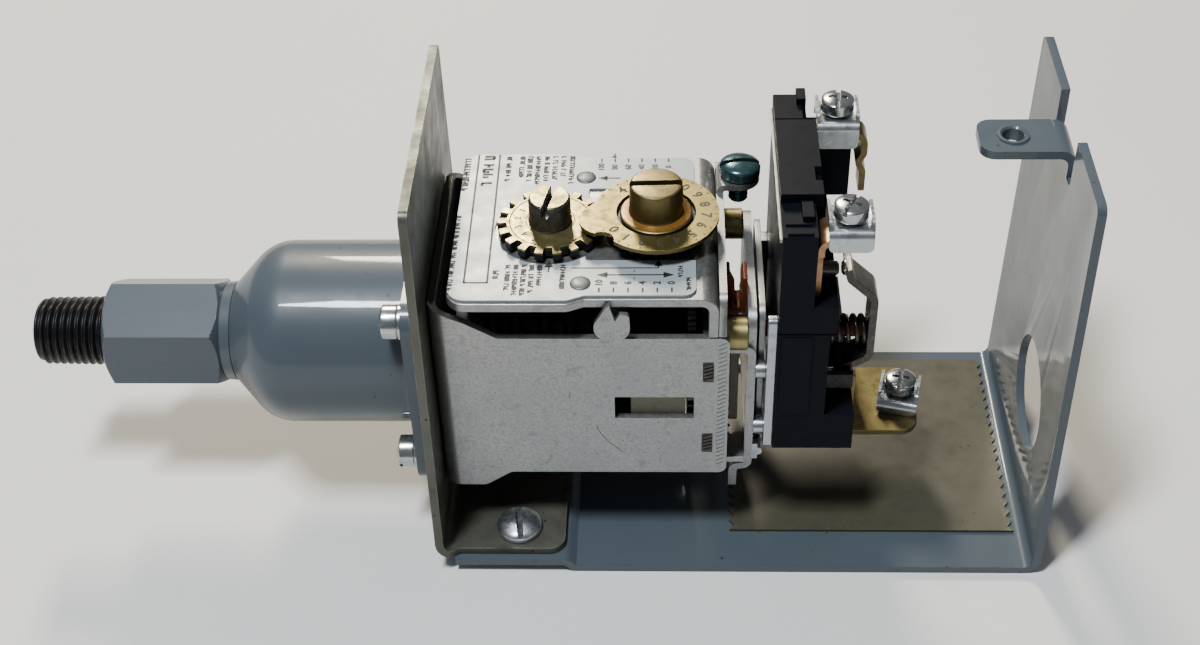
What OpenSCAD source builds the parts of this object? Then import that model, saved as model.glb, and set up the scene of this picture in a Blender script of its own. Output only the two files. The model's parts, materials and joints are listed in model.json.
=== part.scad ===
// Bellows pressure switch with its cover off, lying on its back plate.
// Every module draws in case coordinates: X = 0 at the outer face of the end bracket, +X towards the
// conduit end, Y = 0 on the middle of the case, Z = 0 under the base. in_case() moves them so that the
// origin is under the middle of the whole switch. Millimetres.

/* [Case] */
// Length over the two end plates
case_len = 114.3; // [112:0.1:118]
// Width of the base
case_w = 60.8; // [56:0.1:64]
// Width of an end plate at its top edge
end_top_w = 53; // [50:0.1:56]
// Height of the conduit end plate
conduit_end_h = 83.5; // [82:0.1:88]
// Height of the end bracket above the table
bracket_h = 82.5; // [80:0.1:86]
// Thickness of the painted case sheet
sheet = 1.6; // [1.2:0.1:2]
// Diameter of the conduit hole
conduit_d = 22.2; // [20:0.1:24]

/* [Pressure element] */
// Height of the bellows axis above the table
axis_z = 34.6; // [33:0.1:36]
// Outside diameter of the bellows housing
bell_d = 34.9; // [32:0.1:36]
// Length of the bellows housing from the bracket to its shoulder
bell_len = 37.9; // [36:0.1:44]
// Hexagon size across flats
hex_af = 19.05; // [17:0.05:22]
// Length of the hexagon
hex_len = 22.2; // [18:0.1:26]
// Length of the threaded pipe end
thread_len = 14.2; // [12:0.1:18]
// Outside diameter of the pipe thread
thread_d = 13.4; // [13:0.1:13.8]

/* [Mechanism] */
// Width over the side walls of the mechanism frame
frame_w = 42; // [41.5:0.1:43]
// Top face of the top plate above the table
top_z = 60; // [59.5:0.1:60.5]
// Distance of the differential dial from the bracket
diff_x = 22.9; // [22:0.1:23.5]
// Distance of the range dial from the bracket
range_x = 42; // [41.8:0.1:42.2]
// Width of the contact block
block_w = 40; // [36:0.1:42]

/* [Hidden] */
$fn = 48;

neck_len = 2.3;          // round neck between the bell and the hexagon
fitting_len = bell_len + neck_len + hex_len + thread_len;
total_len = case_len + fitting_len;
left_x = fitting_len - total_len / 2;

gap = 0.15;              // air between neighbouring pieces that don't carry each other
fit = 0.06;              // radial clearance of a running fit
joggle_x = 25.5;         // the base is raised by one sheet left of here
foot_z = 2 * sheet;      // top of the raised stretch, where the bracket's foot lies
foot_len = 24.5;
foot_screw_x = 15.6;
foot_screw_y = 23.6;
foot_screw_r = 2.4;
tab_len = 15;            // cover tab, bent in from the conduit end plate
tab_half = 4.9;
tab_z = 79.4;            // top face of the cover tab
notch_half = 8;
notch_z = 74;            // bottom of the relief notches beside the tab
cover_hole_x = case_len - 10.6;
cover_hole_r = 1.9;
conduit_y = -6.2;        // the conduit hole sits off the middle
conduit_z = 24.3;

hex_turn = 55.7;         // how the hexagon's corners are turned about the axis
flange_half = 21;
flange_t = 3.2;
flange_screw = 16.3;     // flange screws sit at +- this from the axis in Y and Z
flange_screw_r = 1.7;
wall_t = 1.4;
wall_x0 = sheet + gap;   // left wall of the mechanism frame
side_y = frame_w / 2;
frame_x1 = 55;
frame_lo = 17.5;
frame_hi = 51;
end_plate_x = 50.3;
end_plate_t = 2;
top_t = 1.8;
flange_x = 51.2;         // end flange bent down from the top plate
strap_t = 1.3;
ear_x = 57.4;            // ground screw
ear_y = 13.2;
ear_z = top_z + 1.85;    // top face of the ground screw's ear
label_t = 0.4;
label_z = top_z + label_t;
dial_y = -1.6;
rack_y = dial_y + 4.1;   // tips of the rack's teeth

cap_x = -31;             // closed end of the bellows
cap_t = 2;
seat_x = 5.2;
seat_t = 2.6;
spring_r = 12.7;         // mean radius of the range spring
spring_wire = 2.8;
nut_x0 = 29.9;
nut_x1 = 37.6;
nut_r = 14.4;
sleeve_r = 10.6;
sleeve_bore = 5;
wheel_x = 47.6;
wheel_t = 1.6;
wheel_r = 19;
wheel_teeth = 60;
rod_r = 3;
button_x = 54.4;
pinion_lo = 49.8;
pinion_hi = top_z - top_t - 0.6;

bracket_x = 58.4;        // contact bracket's web
bracket_t = 1.5;
lever_x = 60.25;
lever_t = 1.3;
lever_pivot_z = 19.5;
lever_pin_r = 0.9;
mount_x = 61.75;         // plate that carries the contact block
block_x = 63.4;
block_t = 6;
shelf_x = 73.8;          // the block's ledge under the front terminal
foot_x = 78.1;           // and its foot
block_lo = 23;
block_hi = 72.8;
block_y = block_w / 2;
arm_y = -11;
arm_w = 6;
arm_pivot_x = 76.4;
arm_pivot_z = 36.4;
arm_x1 = 80.6;           // inner face of the arm's upright
pin_z = 44.8;            // transfer pin, between the lever and the contact arm, inside the spring
pin_r = 1.5;
contact_x = 74.4;        // face where the contacts meet
contact_z = 60.2;
terminal_x = 74.7;
terminal_y = 15.8;
terminal_z = 71;
lower_z = 15.6;

painted = [0.40, 0.44, 0.47];
zinc = [0.72, 0.73, 0.72];
olive = [0.42, 0.42, 0.33];
brass = [0.78, 0.66, 0.36];
dark = [0.16, 0.16, 0.17];
phenolic = [0.07, 0.075, 0.085];

module in_case() translate([left_x, 0, 0]) children();

// A round bar along X from x0 to x1.
module bar_x(r, x0, x1, y = 0, z = axis_z) {
    translate([x0, y, z]) rotate([0, 90, 0]) cylinder(r = r, h = x1 - x0);
}

// A round bar along Y from y0 to y1.
module bar_y(r, y0, y1, x, z) {
    translate([x, y1, z]) rotate([90, 0, 0]) cylinder(r = r, h = y1 - y0);
}

// A round bar along Z from z0 to z1.
module bar_z(r, z0, z1, x, y) {
    translate([x, y, z0]) cylinder(r = r, h = z1 - z0);
}

// A box between two opposite corners.
module block(a, b) translate(a) cube(b - a);

// A flat outline in Y and Z, t thick along +X from x.
module panel_x(x, t) translate([x, 0, 0]) rotate([90, 0, 90]) linear_extrude(t) children();

// A flat outline in X and Z, from y to y + t.
module panel_y(y, t) translate([0, y + t, 0]) rotate([90, 0, 0]) linear_extrude(t) children();

// A flat outline in X and Y, from z up to z + t.
module panel_z(z, t) translate([0, 0, z]) linear_extrude(t) children();

// The outline of an end plate, wide at the base and narrower at the top.
module end_outline(h, lo) {
    slope = (case_w - end_top_w) / 2 / h;
    lo_half = case_w / 2 - slope * lo;
    polygon([[-lo_half, lo], [lo_half, lo], [end_top_w / 2, h], [-end_top_w / 2, h]]);
}

// A toothed disc's outline: teeth of the given depth on radius r, each half a pitch wide.
module toothed(r, teeth, depth) {
    circle(r - depth);
    tooth_w = PI * r / teeth;
    for (i = [0 : teeth - 1])
        rotate(i * 360 / teeth) translate([r / 2, -tooth_w / 2]) square([r / 2, tooth_w]);
}

// A coil along +Z: mean radius r, wire diameter d, its wire's middle running from 0 to length.
module coil(r, d, turns, length, steps, sides) {
    n = turns * steps;
    ring = function(i, j) let (a = i * 360 / steps, b = j * 360 / sides, w = d / 2)
        [(r + w * cos(b)) * cos(a), (r + w * cos(b)) * sin(a), length * i / n + w * sin(b)];
    points = [for (i = [0 : n]) for (j = [0 : sides - 1]) ring(i, j)];
    side_faces = [for (i = [0 : n - 1]) for (j = [0 : sides - 1]) let (k = (j + 1) % sides)
        each [[i * sides + j, (i + 1) * sides + k, (i + 1) * sides + j],
              [i * sides + j, i * sides + k, (i + 1) * sides + k]]];
    near = [for (j = [sides - 1 : -1 : 0]) j];
    far = [for (j = [0 : sides - 1]) n * sides + j];
    polyhedron(points, concat(side_faces, [near, far]));
}

// A coil along X between x0 and x1, its wire inside both ends.
module coil_x(r, d, turns, x0, x1, y, z, steps = 20, sides = 8) {
    translate([x0 + d / 2, y, z]) rotate([0, 90, 0]) coil(r, d, turns, x1 - x0 - d, steps, sides);
}

// ---- Case ----

module base_plate() {
    color(painted) in_case() difference() {
        union() {
            block([joggle_x, -case_w / 2, 0], [case_len, case_w / 2, sheet]);
            block([3.6, -case_w / 2, sheet], [joggle_x + sheet, case_w / 2, foot_z]);
        }
        for (s = [-1, 1]) bar_z(foot_screw_r, -1, foot_z + 1, foot_screw_x, s * foot_screw_y);
    }
}

// The upright end of the base sheet, with the cover tab bent in from its top edge.
module conduit_end_plate() {
    color(painted) in_case() {
        difference() {
            panel_x(case_len - sheet, sheet) end_outline(conduit_end_h, sheet);
            bar_x(conduit_d / 2, case_len - 2 * sheet, case_len + 1, conduit_y, conduit_z);
            block([case_len - 2 * sheet, -notch_half, tab_z], [case_len + 1, notch_half, 99]);
            for (s = [-1, 1])
                block([case_len - 2 * sheet, s < 0 ? -notch_half : tab_half, notch_z],
                      [case_len + 1, s < 0 ? -tab_half : notch_half, 99]);
        }
        difference() {
            block([case_len - sheet - tab_len, -tab_half, tab_z - sheet],
                [case_len - sheet, tab_half, tab_z]);
            bar_z(cover_hole_r, 70, 99, cover_hole_x, 0);
        }
    }
}

module insulating_liner() {
    pitch = 2.5;
    x0 = 56;
    x1 = 110.6;
    y0 = -21.5;
    rows = 19;
    color([0.30, 0.28, 0.20]) in_case() panel_z(sheet + 0.05, 0.5) {
        polygon(concat(
            [for (i = [0 : rows]) each [[x0, y0 + i * pitch], [x0 + 1, y0 + (i + 0.5) * pitch]]],
            [for (i = [rows : -1 : 0]) each [[x1 - 1, y0 + (i + 0.5) * pitch], [x1, y0 + i * pitch]]]));
    }
}

module end_bracket() {
    color(olive) in_case() difference() {
        union() {
            panel_x(0, sheet) end_outline(bracket_h, foot_z + 0.05);
            block([0, -case_w / 2 + 1.4, foot_z + 0.05], [foot_len, case_w / 2 - 1.4, foot_z + sheet]);
        }
        for (s = [-1, 1]) bar_z(foot_screw_r, 0, 9, foot_screw_x, s * foot_screw_y);
        bar_x(rod_r + 2, -1, 3);
        for (a = [-1, 1], b = [-1, 1])
            bar_x(flange_screw_r, -1, 3, a * flange_screw, axis_z + b * flange_screw);
    }
}

module bracket_screws() {
    head_z = foot_z + sheet + 0.02;
    color(zinc) in_case() for (s = [-1, 1]) difference() {
        union() {
            bar_z(4.35, head_z, head_z + 1.4, foot_screw_x, s * foot_screw_y);
            bar_z(3.4, head_z + 1.4, head_z + 2.4, foot_screw_x, s * foot_screw_y);
            bar_z(foot_screw_r - 0.05, 0.3, head_z, foot_screw_x, s * foot_screw_y);
        }
        translate([foot_screw_x, s * foot_screw_y, head_z + 2]) cube([1.2, 9.5, 1.8], center = true);
    }
}

// ---- Pressure element ----

module bellows_housing() {
    shell = 1.5;
    r = bell_d / 2;
    round_r = 9;
    color(painted) in_case() {
        difference() {
            panel_x(-flange_t - 0.05, flange_t)
                translate([-flange_half, axis_z - flange_half]) square(2 * flange_half);
            bar_x(r - shell, -9, 1);
            for (a = [-1, 1], b = [-1, 1])
                bar_x(flange_screw_r, -9, 1, a * flange_screw, axis_z + b * flange_screw);
        }
        translate([-flange_t - 0.05, 0, axis_z]) rotate([0, -90, 0]) rotate_extrude($fn = 96)
            difference() {
                bell_profile(r, bell_len - flange_t, round_r);
                bell_profile(r - shell, bell_len - flange_t - shell, round_r - shell);
            }
    }
}

// Half of the bell's section: a tube of radius r whose closed end is rounded, with a hole for the fitting.
module bell_profile(r, h, round_r) {
    neck = 4;
    difference() {
        union() {
            square([r, h - round_r]);
            square([r - round_r, h]);
            translate([r - round_r, h - round_r]) circle(round_r);
        }
        translate([-99, -99]) square([99, 300]);
        translate([-99, -99]) square([300, 99]);
        translate([0, h - 5]) square([neck, 9]);
    }
}

module housing_screws() {
    x1 = -flange_t - 0.1;
    color(zinc) in_case() for (a = [-1, 1], b = [-1, 1]) {
        y = a * flange_screw;
        z = axis_z + b * flange_screw;
        difference() {
            bar_x(3.3, x1 - 4.1, x1, y, z);
            translate([x1 - 4.1, y, z]) cube([2, 1, 8], center = true);
        }
        bar_x(flange_screw_r - 0.05, x1, wall_x0 + wall_t - 0.1, y, z);
    }
}

module inlet_fitting() {
    x1 = -bell_len - 0.1;
    color(painted) in_case() difference() {
        union() {
            bar_x(9.7, x1 - neck_len, x1);
            translate([x1 - neck_len - hex_len, 0, axis_z]) rotate([0, 90, 0]) rotate(hex_turn)
                cylinder(r = hex_af / 2 / cos(30), h = hex_len, $fn = 6);
            bar_x(3.9, x1, x1 + 2.6);
        }
        bar_x(2.6, -99, 0);
    }
}

module pipe_nipple() {
    x1 = -fitting_len + thread_len - 0.1;
    color(dark) in_case() difference() {
        union() {
            bar_x(thread_d / 2, -fitting_len + 1, x1);
            translate([-fitting_len, 0, axis_z]) rotate([0, 90, 0])
                cylinder(r1 = thread_d / 2 - 1, r2 = thread_d / 2, h = 1);
        }
        bar_x(3.4, -99, 0);
    }
}

module bellows_ring() {
    color(brass) in_case() difference() {
        bar_x(15.8, -2, -0.1);
        bar_x(rod_r + 2, -5, 1);
    }
}

module bellows() {
    folds = 9;
    pitch = (-2.1 - cap_x - cap_t) / folds;
    skin = 0.4;
    out = [for (i = [0 : folds - 1]) each [[11, (i + 0.05) * pitch], [14.6, (i + 0.5) * pitch]]];
    color(brass) in_case() translate([cap_x + cap_t, 0, axis_z]) rotate([0, 90, 0]) rotate_extrude()
        polygon(concat(out, [[11, folds * pitch], [11 - skin, folds * pitch]],
            [for (i = [folds - 1 : -1 : 0]) each
                [[14.6 - 2 * skin, (i + 0.5) * pitch], [11 - skin, (i + 0.05) * pitch]]]));
}

module bellows_cap() {
    color(brass) in_case() bar_x(14.4, cap_x, cap_x + cap_t - 0.05);
}

module push_rod() {
    color(zinc) in_case() bar_x(rod_r, cap_x + cap_t, button_x);
}

module rod_button() {
    color([0.32, 0.13, 0.06]) in_case() {
        bar_x(4.2, button_x + 0.02, bracket_x - 0.9);
        bar_x(3.2, bracket_x - 0.9, lever_x - 0.1);
    }
}

module spring_seat() {
    color(zinc) in_case() difference() {
        bar_x(14.2, seat_x, seat_x + seat_t);
        bar_x(rod_r + fit, 0, 20);
    }
}

// ---- Mechanism frame and top plate ----

module mechanism_frame() {
    slot = [[34.4, 31.6], [48.8, 36.9]];
    color(zinc) in_case() difference() {
        union() {
            block([wall_x0, -side_y, 14], [wall_x0 + wall_t, side_y, 57.6]);
            for (y = [-side_y, side_y - wall_t]) panel_y(y, wall_t)
                polygon([[wall_x0, 14], [9.7, 14], [14.6, frame_lo], [frame_x1 - 1, frame_lo],
                         [frame_x1, frame_lo + 1], [frame_x1, frame_hi], [13.9, frame_hi],
                         [8.5, 54.4], [wall_x0, 57.6]]);
        }
        bar_x(rod_r + 2, -1, 6);
        for (a = [-1, 1], b = [-1, 1])
            bar_x(flange_screw_r, -1, 6, a * flange_screw, axis_z + b * flange_screw);
        block([slot[0][0], -30, slot[0][1]], [slot[1][0], 30, slot[1][1]]);
        for (z = [25.3, 43]) block([end_plate_x, -30, z - 2.4], [end_plate_x + end_plate_t, 30, z + 2.4]);
    }
}

module frame_end_plate() {
    color(zinc) in_case() difference() {
        union() {
            block([end_plate_x, 0.05 + wall_t - side_y, frame_lo],
                  [end_plate_x + end_plate_t, side_y - wall_t - 0.05, frame_hi]);
            for (z = [25.3, 43])
                block([end_plate_x + 0.05, -side_y - 0.25, z - 2.3],
                      [end_plate_x + end_plate_t - 0.05, side_y + 0.25, z + 2.3]);
        }
        bar_x(rod_r + fit, 0, 99);
    }
}

module top_plate() {
    wide = side_y + 1.3;
    narrow = side_y;
    color(zinc) in_case() {
        panel_z(top_z - top_t, top_t) difference() {
            polygon([[5.4, -wide + 2], [7.4, -wide], [27.3, -wide], [29, -narrow],
                     [flange_x + top_t, -narrow], [flange_x + top_t, narrow],
                     [29, narrow], [27.3, wide], [7.4, wide], [5.4, wide - 2]]);
            for (x = [diff_x, range_x]) translate([x, dial_y]) circle(4);
            for (y = [14, -17]) translate([28.8, y]) circle(1.1);
        }
        block([flange_x, -narrow, frame_hi + 0.1], [flange_x + top_t, narrow, top_z - top_t]);
    }
}

// Ground strap against the top plate's end flange, with the round ear the ground screw goes through.
module ground_strap() {
    x0 = flange_x + top_t + 0.05;
    x1 = x0 + strap_t;
    color(zinc) in_case() difference() {
        union() {
            block([x0, -side_y, frame_hi + 0.1], [x1, side_y, top_z]);
            block([x0, -12.8, 44.9], [x1, 12.8, frame_hi + 0.2]);
            block([x0, ear_y - 3.7, top_z - 0.5], [x1, ear_y + 3.7, ear_z]);
            block([x0, ear_y - 3.7, ear_z - strap_t], [ear_x, ear_y + 3.7, ear_z]);
            bar_z(3.7, ear_z - strap_t, ear_z, ear_x, ear_y);
        }
        bar_z(1.9, 50, 70, ear_x, ear_y);
    }
}

// Two hooks under the top plate that the differential rack slides in.
module rack_guides() {
    color(zinc) in_case() for (x = [12, 19.8]) {
        block([x, rack_y + 4.15, 50.2], [x + 2, rack_y + 5.2, top_z - top_t]);
        block([x, rack_y + 1.6, 50.2], [x + 2, rack_y + 4.3, 50.85]);
    }
}

module scale_plate() {
    wide = side_y + 0.6;
    narrow = side_y - 1.1;
    inner = 10.6;
    color([0.86, 0.87, 0.88]) in_case() panel_z(top_z + 0.02, label_t) difference() {
        polygon([[5.6, -wide + 2], [7.6, -wide], [26.9, -wide], [28.4, -narrow], [49, -narrow],
                 [49, -inner], [29.5, -inner], [29.5, inner], [49, inner], [49, narrow], [28.4, narrow],
                 [26.9, wide], [7.6, wide], [5.6, wide - 2]]);
        translate([diff_x, dial_y]) circle(10.2);
        for (y = [14, -17]) translate([28.8, y]) circle(1.1);
    }
}

module scale_rivets() {
    color([0.45, 0.46, 0.46]) in_case() for (y = [14, -17]) {
        bar_z(1, top_z - top_t - 0.5, label_z + 0.05, 28.8, y);
        bar_z(1.8, label_z + 0.05, label_z + 0.4, 28.8, y);
    }
}

module dial_bushings() {
    color(brass) in_case() for (x = [diff_x, range_x]) difference() {
        bar_z(3.95, top_z - top_t - 0.3, top_z, x, dial_y);
        bar_z(2.5 + fit, 0, 99, x, dial_y);
    }
}

// ---- Range adjustment ----

module range_spring() {
    color(dark) in_case()
        coil_x(spring_r, spring_wire, 4, seat_x + seat_t + 0.05, nut_x0 - 0.05, 0, axis_z, 24, 10);
}

module range_sleeve() {
    color(dark) in_case() difference() {
        union() {
            bar_x(sleeve_r, nut_x0 + 1, wheel_x - 0.02);
            bar_x(7, wheel_x + wheel_t + 0.02, end_plate_x - 0.06);
        }
        bar_x(sleeve_bore, 0, 99);
    }
}

module range_wheel() {
    color(dark) in_case() panel_x(wheel_x, wheel_t) translate([0, axis_z]) difference() {
        toothed(wheel_r, wheel_teeth, 1);
        circle(sleeve_bore);
    }
}

module range_nut() {
    color(zinc) in_case() {
        difference() {
            bar_x(nut_r, nut_x0, nut_x1);
            bar_x(sleeve_r + fit, 0, 99);
        }
    }
}

module range_pointer() {
    x = 34.3;
    z = 54.7;
    plate_y = -side_y - 1.5;
    color(zinc) in_case() {
        panel_y(plate_y, 1.1) {
            translate([x, z]) circle(3.3);
            polygon([[x - 3.1, z + 1], [x - 0.6, z + 5.4], [x + 1.8, z + 2.4]]);
        }
        block([x - 2, plate_y + 1.1, 51.6], [x + 2, -9, 53.2]);
        difference() {
            block([x - 2, -10.4, axis_z + 9], [x + 2, -9, 51.7]);
            bar_x(nut_r + 0.02, 0, 99);
        }
    }
}

module range_post() {
    color(brass) in_case() difference() {
        union() {
            bar_z(2.5, pinion_lo - 0.4, label_z + 2, range_x, dial_y);
            bar_z(6.5, label_z + 3.1, label_z + 4.1, range_x, dial_y);
            bar_z(4.8, label_z + 2, label_z + 10.3, range_x, dial_y);
        }
        translate([range_x, dial_y, label_z + 10.3]) cube([20, 1.4, 5], center = true);
    }
}

module range_gear() {
    color(dark) in_case() {
        panel_z(label_z + 0.3, 1.6) translate([range_x, dial_y]) difference() {
            toothed(9, 24, 1.2);
            circle(2.5);
        }
        difference() {
            bar_z(7.1, label_z + 1.9, label_z + 3.05, range_x, dial_y);
            bar_z(4.85, 0, 99, range_x, dial_y);
        }
    }
}

module range_dial() {
    color(brass) in_case() panel_z(label_z + 3.08, 0.8) translate([range_x, dial_y]) difference() {
        union() {
            circle(11.3);
            translate([-9.3, -2]) circle(4.5);
            polygon([[-13.6, -0.6], [-3.5, 10.74], [3, -8], [-9.3, -6.4]]);
        }
        circle(7.15);
        translate([-9.6, -8]) circle(2.2);
    }
}

module range_pinion() {
    color(dark) in_case() panel_z(pinion_lo, pinion_hi - pinion_lo) translate([range_x, dial_y])
        difference() {
            toothed(5.2, 14, 1);
            circle(2.5);
        }
}

// ---- Differential adjustment ----

module differential_post() {
    color(dark) in_case() difference() {
        union() {
            bar_z(2.5, pinion_lo - 0.4, label_z + 2, diff_x, dial_y);
            bar_z(3.8, label_z + 2, label_z + 7.3, diff_x, dial_y);
        }
        translate([diff_x, dial_y, label_z + 7.3]) rotate(78) cube([20, 1.2, 5], center = true);
    }
}

module differential_star() {
    color(brass) in_case() panel_z(label_z + 0.3, 1.7) translate([diff_x, dial_y]) difference() {
        toothed(9.6, 18, 1.8);
        circle(2.5);
    }
}

module differential_pinion() {
    color(dark) in_case() panel_z(pinion_lo, pinion_hi - pinion_lo) translate([diff_x, dial_y])
        difference() {
            toothed(3.8, 10, 0.9);
            circle(2.5);
        }
}

module differential_rack() {
    x0 = 9;
    x1 = 27;
    pitch = 2.4;
    color(zinc) in_case() {
        panel_z(51, 4) {
            translate([x0, rack_y + 1]) square([x1 - x0, 3]);
            for (x = [x0 + 0.6 : pitch : x1 - 1.2]) translate([x, rack_y]) square([1.2, 1.01]);
            translate([x1 - 3, rack_y + 3]) square([3, 5]);
        }
        block([x1 - 3, rack_y + 7.9, 52.4], [36, rack_y + 10.9, 54]);
        block([33, rack_y + 10.8, 52.4], [36, side_y + 0.4, 54]);
        block([34.6, 12.4, 50.6], [36, 18.8, 52.5]);
    }
}

module differential_pointer() {
    color(zinc) in_case() panel_y(side_y + 0.42, 1.1) {
        translate([34.5, 54.7]) circle(3.3);
        polygon([[31.4, 55.7], [33.9, 60.1], [36.3, 57.1]]);
    }
}

module differential_spring() {
    color(zinc) in_case() coil_x(2.2, 0.8, 8, 36.05, 51.15, 15.8, 53.7, 14, 6);
}

// ---- Right-hand end of the mechanism ----

module ground_screw() {
    x = ear_x;
    y = ear_y;
    head_z = ear_z + 0.05;
    color([0.16, 0.33, 0.33]) in_case() difference() {
        union() {
            bar_z(3.8, head_z, head_z + 1.2, x, y);
            bar_z(2.9, head_z + 1.2, head_z + 3.4, x, y);
            bar_z(1.85, 56.5, head_z, x, y);
        }
        translate([x, y, head_z + 3.4]) cube([9, 1.1, 2.4], center = true);
    }
}

module frame_spacers() {
    color([0.66, 0.62, 0.46]) in_case() for (s = [-1, 1]) {
        bar_x(3, end_plate_x + end_plate_t + 0.02, bracket_x - 0.02, s * 16, 47.9);
    }
}

module contact_bracket() {
    half = 17.6;
    lo = 15;
    x0 = 55.6;
    color(zinc) in_case() {
        difference() {
            block([bracket_x, -half, lo], [bracket_x + bracket_t, half, 52.2]);
            bar_x(rod_r + 1, 0, 99);
            block([0, -9, 0], [99, 9, lever_pivot_z - 2.4]);
            block([0, -15, lever_pivot_z - 2.6], [99, 15, lever_pivot_z + 2.6]);
        }
        block([x0, -half, lo], [bracket_x, -9, lo + bracket_t]);
        block([x0, 9, lo], [bracket_x, half, lo + bracket_t]);
        for (y = [-half, 9]) block([x0, y, 10.5], [x0 + bracket_t, y + half - 9, lo]);
        for (y = [-half, half - 4.1]) block([x0 - 1.2, y, 43.3], [bracket_x, y + 4.1, 43.3 + bracket_t]);
        wing_x = end_plate_x + end_plate_t + 0.05;
        wing_y = side_y - wall_t - 0.1;
        wing_z = lo + bracket_t + 2;
        block([wing_x, -wing_y, wing_z], [bracket_x, -13, wing_z + 1.4]);
        block([wing_x, 13, wing_z], [bracket_x, wing_y, wing_z + 1.4]);
    }
}

module block_mounting_plate() {
    color(zinc) in_case() difference() {
        block([mount_x, -19.4, 22], [block_x - 0.05, 19.4, 57]);
        block([0, -15.6, 24], [99, 15.6, 99]);
        block([0, 0, 52], [99, 99, 99]);
    }
    color(zinc) in_case() for (s = [-1, 1]) {
        bar_x(1.6, bracket_x + bracket_t + 0.02, mount_x - 0.02, s * 16.9, 40);
        bar_x(1.6, bracket_x + bracket_t + 0.02, mount_x - 0.02, s * 16.9, 26);
    }
}

module lever_pin() {
    color(zinc) in_case() {
        bar_y(lever_pin_r, -17.4, 17.4, lever_x + lever_t / 2, lever_pivot_z);
        for (y = [-17.4, 15.9])
            block([bracket_x + bracket_t, y, lever_pivot_z - 1.9],
                  [lever_x + lever_t / 2, y + 1.5, lever_pivot_z + 1.9]);
    }
}

module operating_lever() {
    eye_r = 1.9;
    color(zinc) in_case() difference() {
        union() {
            block([lever_x, -14.6, lever_pivot_z], [lever_x + lever_t, 14.6, 51.6]);
            bar_y(eye_r, -14.6, 14.6, lever_x + lever_t / 2, lever_pivot_z);
        }
        bar_y(lever_pin_r + fit, -20, 20, lever_x + lever_t / 2, lever_pivot_z);
    }
}

module transfer_pin() {
    color([0.32, 0.13, 0.06]) in_case() bar_x(pin_r, lever_x + lever_t + gap, arm_x1 - gap, arm_y, pin_z);
}

// ---- Contact block and its electrical parts ----

module contact_block() {
    x1 = block_x + block_t;
    color(phenolic) in_case() difference() {
        union() {
            block([block_x, -block_y, block_lo], [x1, block_y, block_hi]);
            block([block_x, -10.6, block_hi - 0.1], [x1 - 1, block_y, block_hi + 2]);
            block([x1 - 1.9, 16.4, block_hi], [x1 - 0.2, block_y, block_hi + 3.4]);
            block([x1 - 0.1, -block_y, block_lo], [foot_x, block_y, 31.4]);
            block([x1 - 0.1, -block_y, 31.3], [72.6, block_y, 51]);
            block([x1 - 0.1, -block_y, 50.9], [shelf_x, block_y, 57.3]);
            block([x1 - 0.1, terminal_y - 4.2, 57.2], [77.7, block_y, terminal_z - 1.25]);
        }
        bar_x(pin_r + fit, 0, 99, arm_y, pin_z);
        for (s = [-1, 1]) bar_x(1.6, 0, block_x + 5, s * 17.8, 27);
        bar_z(1.95, 60, 99, terminal_x, terminal_y);
    }
}

module block_screws() {
    color(zinc) in_case() for (s = [-1, 1]) {
        bar_x(1.55, block_x - 0.05, block_x + 4.9, s * 17.8, 27);
        block([block_x - 0.05, s * 17.8 - 1, 26.5], [block_x + 0.1, s * 17.8 + 1, 27.5]);
    }
}

// A brass strip: a flat pad under a terminal screw and a leg down to leg_lo at leg_x.
module upper_strip(y, pad_x1, leg_x, leg_y, leg_lo) {
    pad_lo = terminal_z - 1.2;
    difference() {
        block([block_x + block_t + 0.05, y - 4, pad_lo], [pad_x1, y + 4, terminal_z]);
        bar_z(1.9, 0, 99, terminal_x, y);
    }
    block([leg_x, leg_y - 2.8, leg_lo], [leg_x + 1.2, leg_y + 2.8, pad_lo + 0.05]);
}

module terminal_strip_back() {
    color(brass) in_case() upper_strip(terminal_y, 80.4, 79.2, terminal_y - 1.2, 58);
}

module terminal_strip_front() {
    color(brass) in_case()
        upper_strip(-terminal_y, 79, block_x + block_t + 0.05, 1.8 - terminal_y, 57.35);
}

module terminal_strip_lower() {
    color(brass) in_case() difference() {
        union() {
            block([78.15, -9, lower_z], [79.35, 9, 31]);
            block([78.15, -9, lower_z], [90.4, 9, lower_z + 1.2]);
            block([90.3, -7, lower_z], [92.4, 7, lower_z + 1.2]);
        }
        bar_z(1.9, 0, 99, 88, -1.5);
    }
}

// A wire clamp: a small plate with its front and back edges turned down.
module saddle(x, y, z) {
    half = 4.1;
    difference() {
        union() {
            block([x - half, y - half, z + 1.6], [x + half, y + half, z + 2.6]);
            for (s = [-1, 1]) block([x - half, y + (s < 0 ? -half : half - 1), z + 0.02],
                                    [x + half, y + (s < 0 ? 1 - half : half), z + 1.7]);
        }
        bar_z(1.9, 0, 99, x, y);
    }
}

module terminal_saddles() {
    color(zinc) in_case() {
        for (s = [-1, 1]) saddle(terminal_x, s * terminal_y, terminal_z);
        saddle(88, -1.5, lower_z + 1.2);
    }
}

module terminal_screw(x, y, z) {
    head_z = z + 3.4;
    difference() {
        union() {
            bar_z(3.05, head_z, head_z + 1.8, x, y);
            bar_z(2.3, head_z + 1.8, head_z + 2.6, x, y);
            bar_z(1.85, z - 3.4, head_z, x, y);
        }
        translate([x, y, head_z + 2.6]) rotate(60) cube([9, 0.9, 2.4], center = true);
    }
}

module terminal_screws() {
    color(zinc) in_case() {
        for (s = [-1, 1]) terminal_screw(terminal_x, s * terminal_y, terminal_z);
        terminal_screw(88, -1.5, lower_z + 1.2);
    }
}

module fixed_contacts() {
    color([0.85, 0.85, 0.84]) in_case() {
        bar_x(1.5, block_x + block_t + 1.3, contact_x - 0.1, arm_y - 1.6, contact_z);
        bar_x(1.5, 72.65, 75.3, arm_y, 33.2);
    }
}

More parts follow.
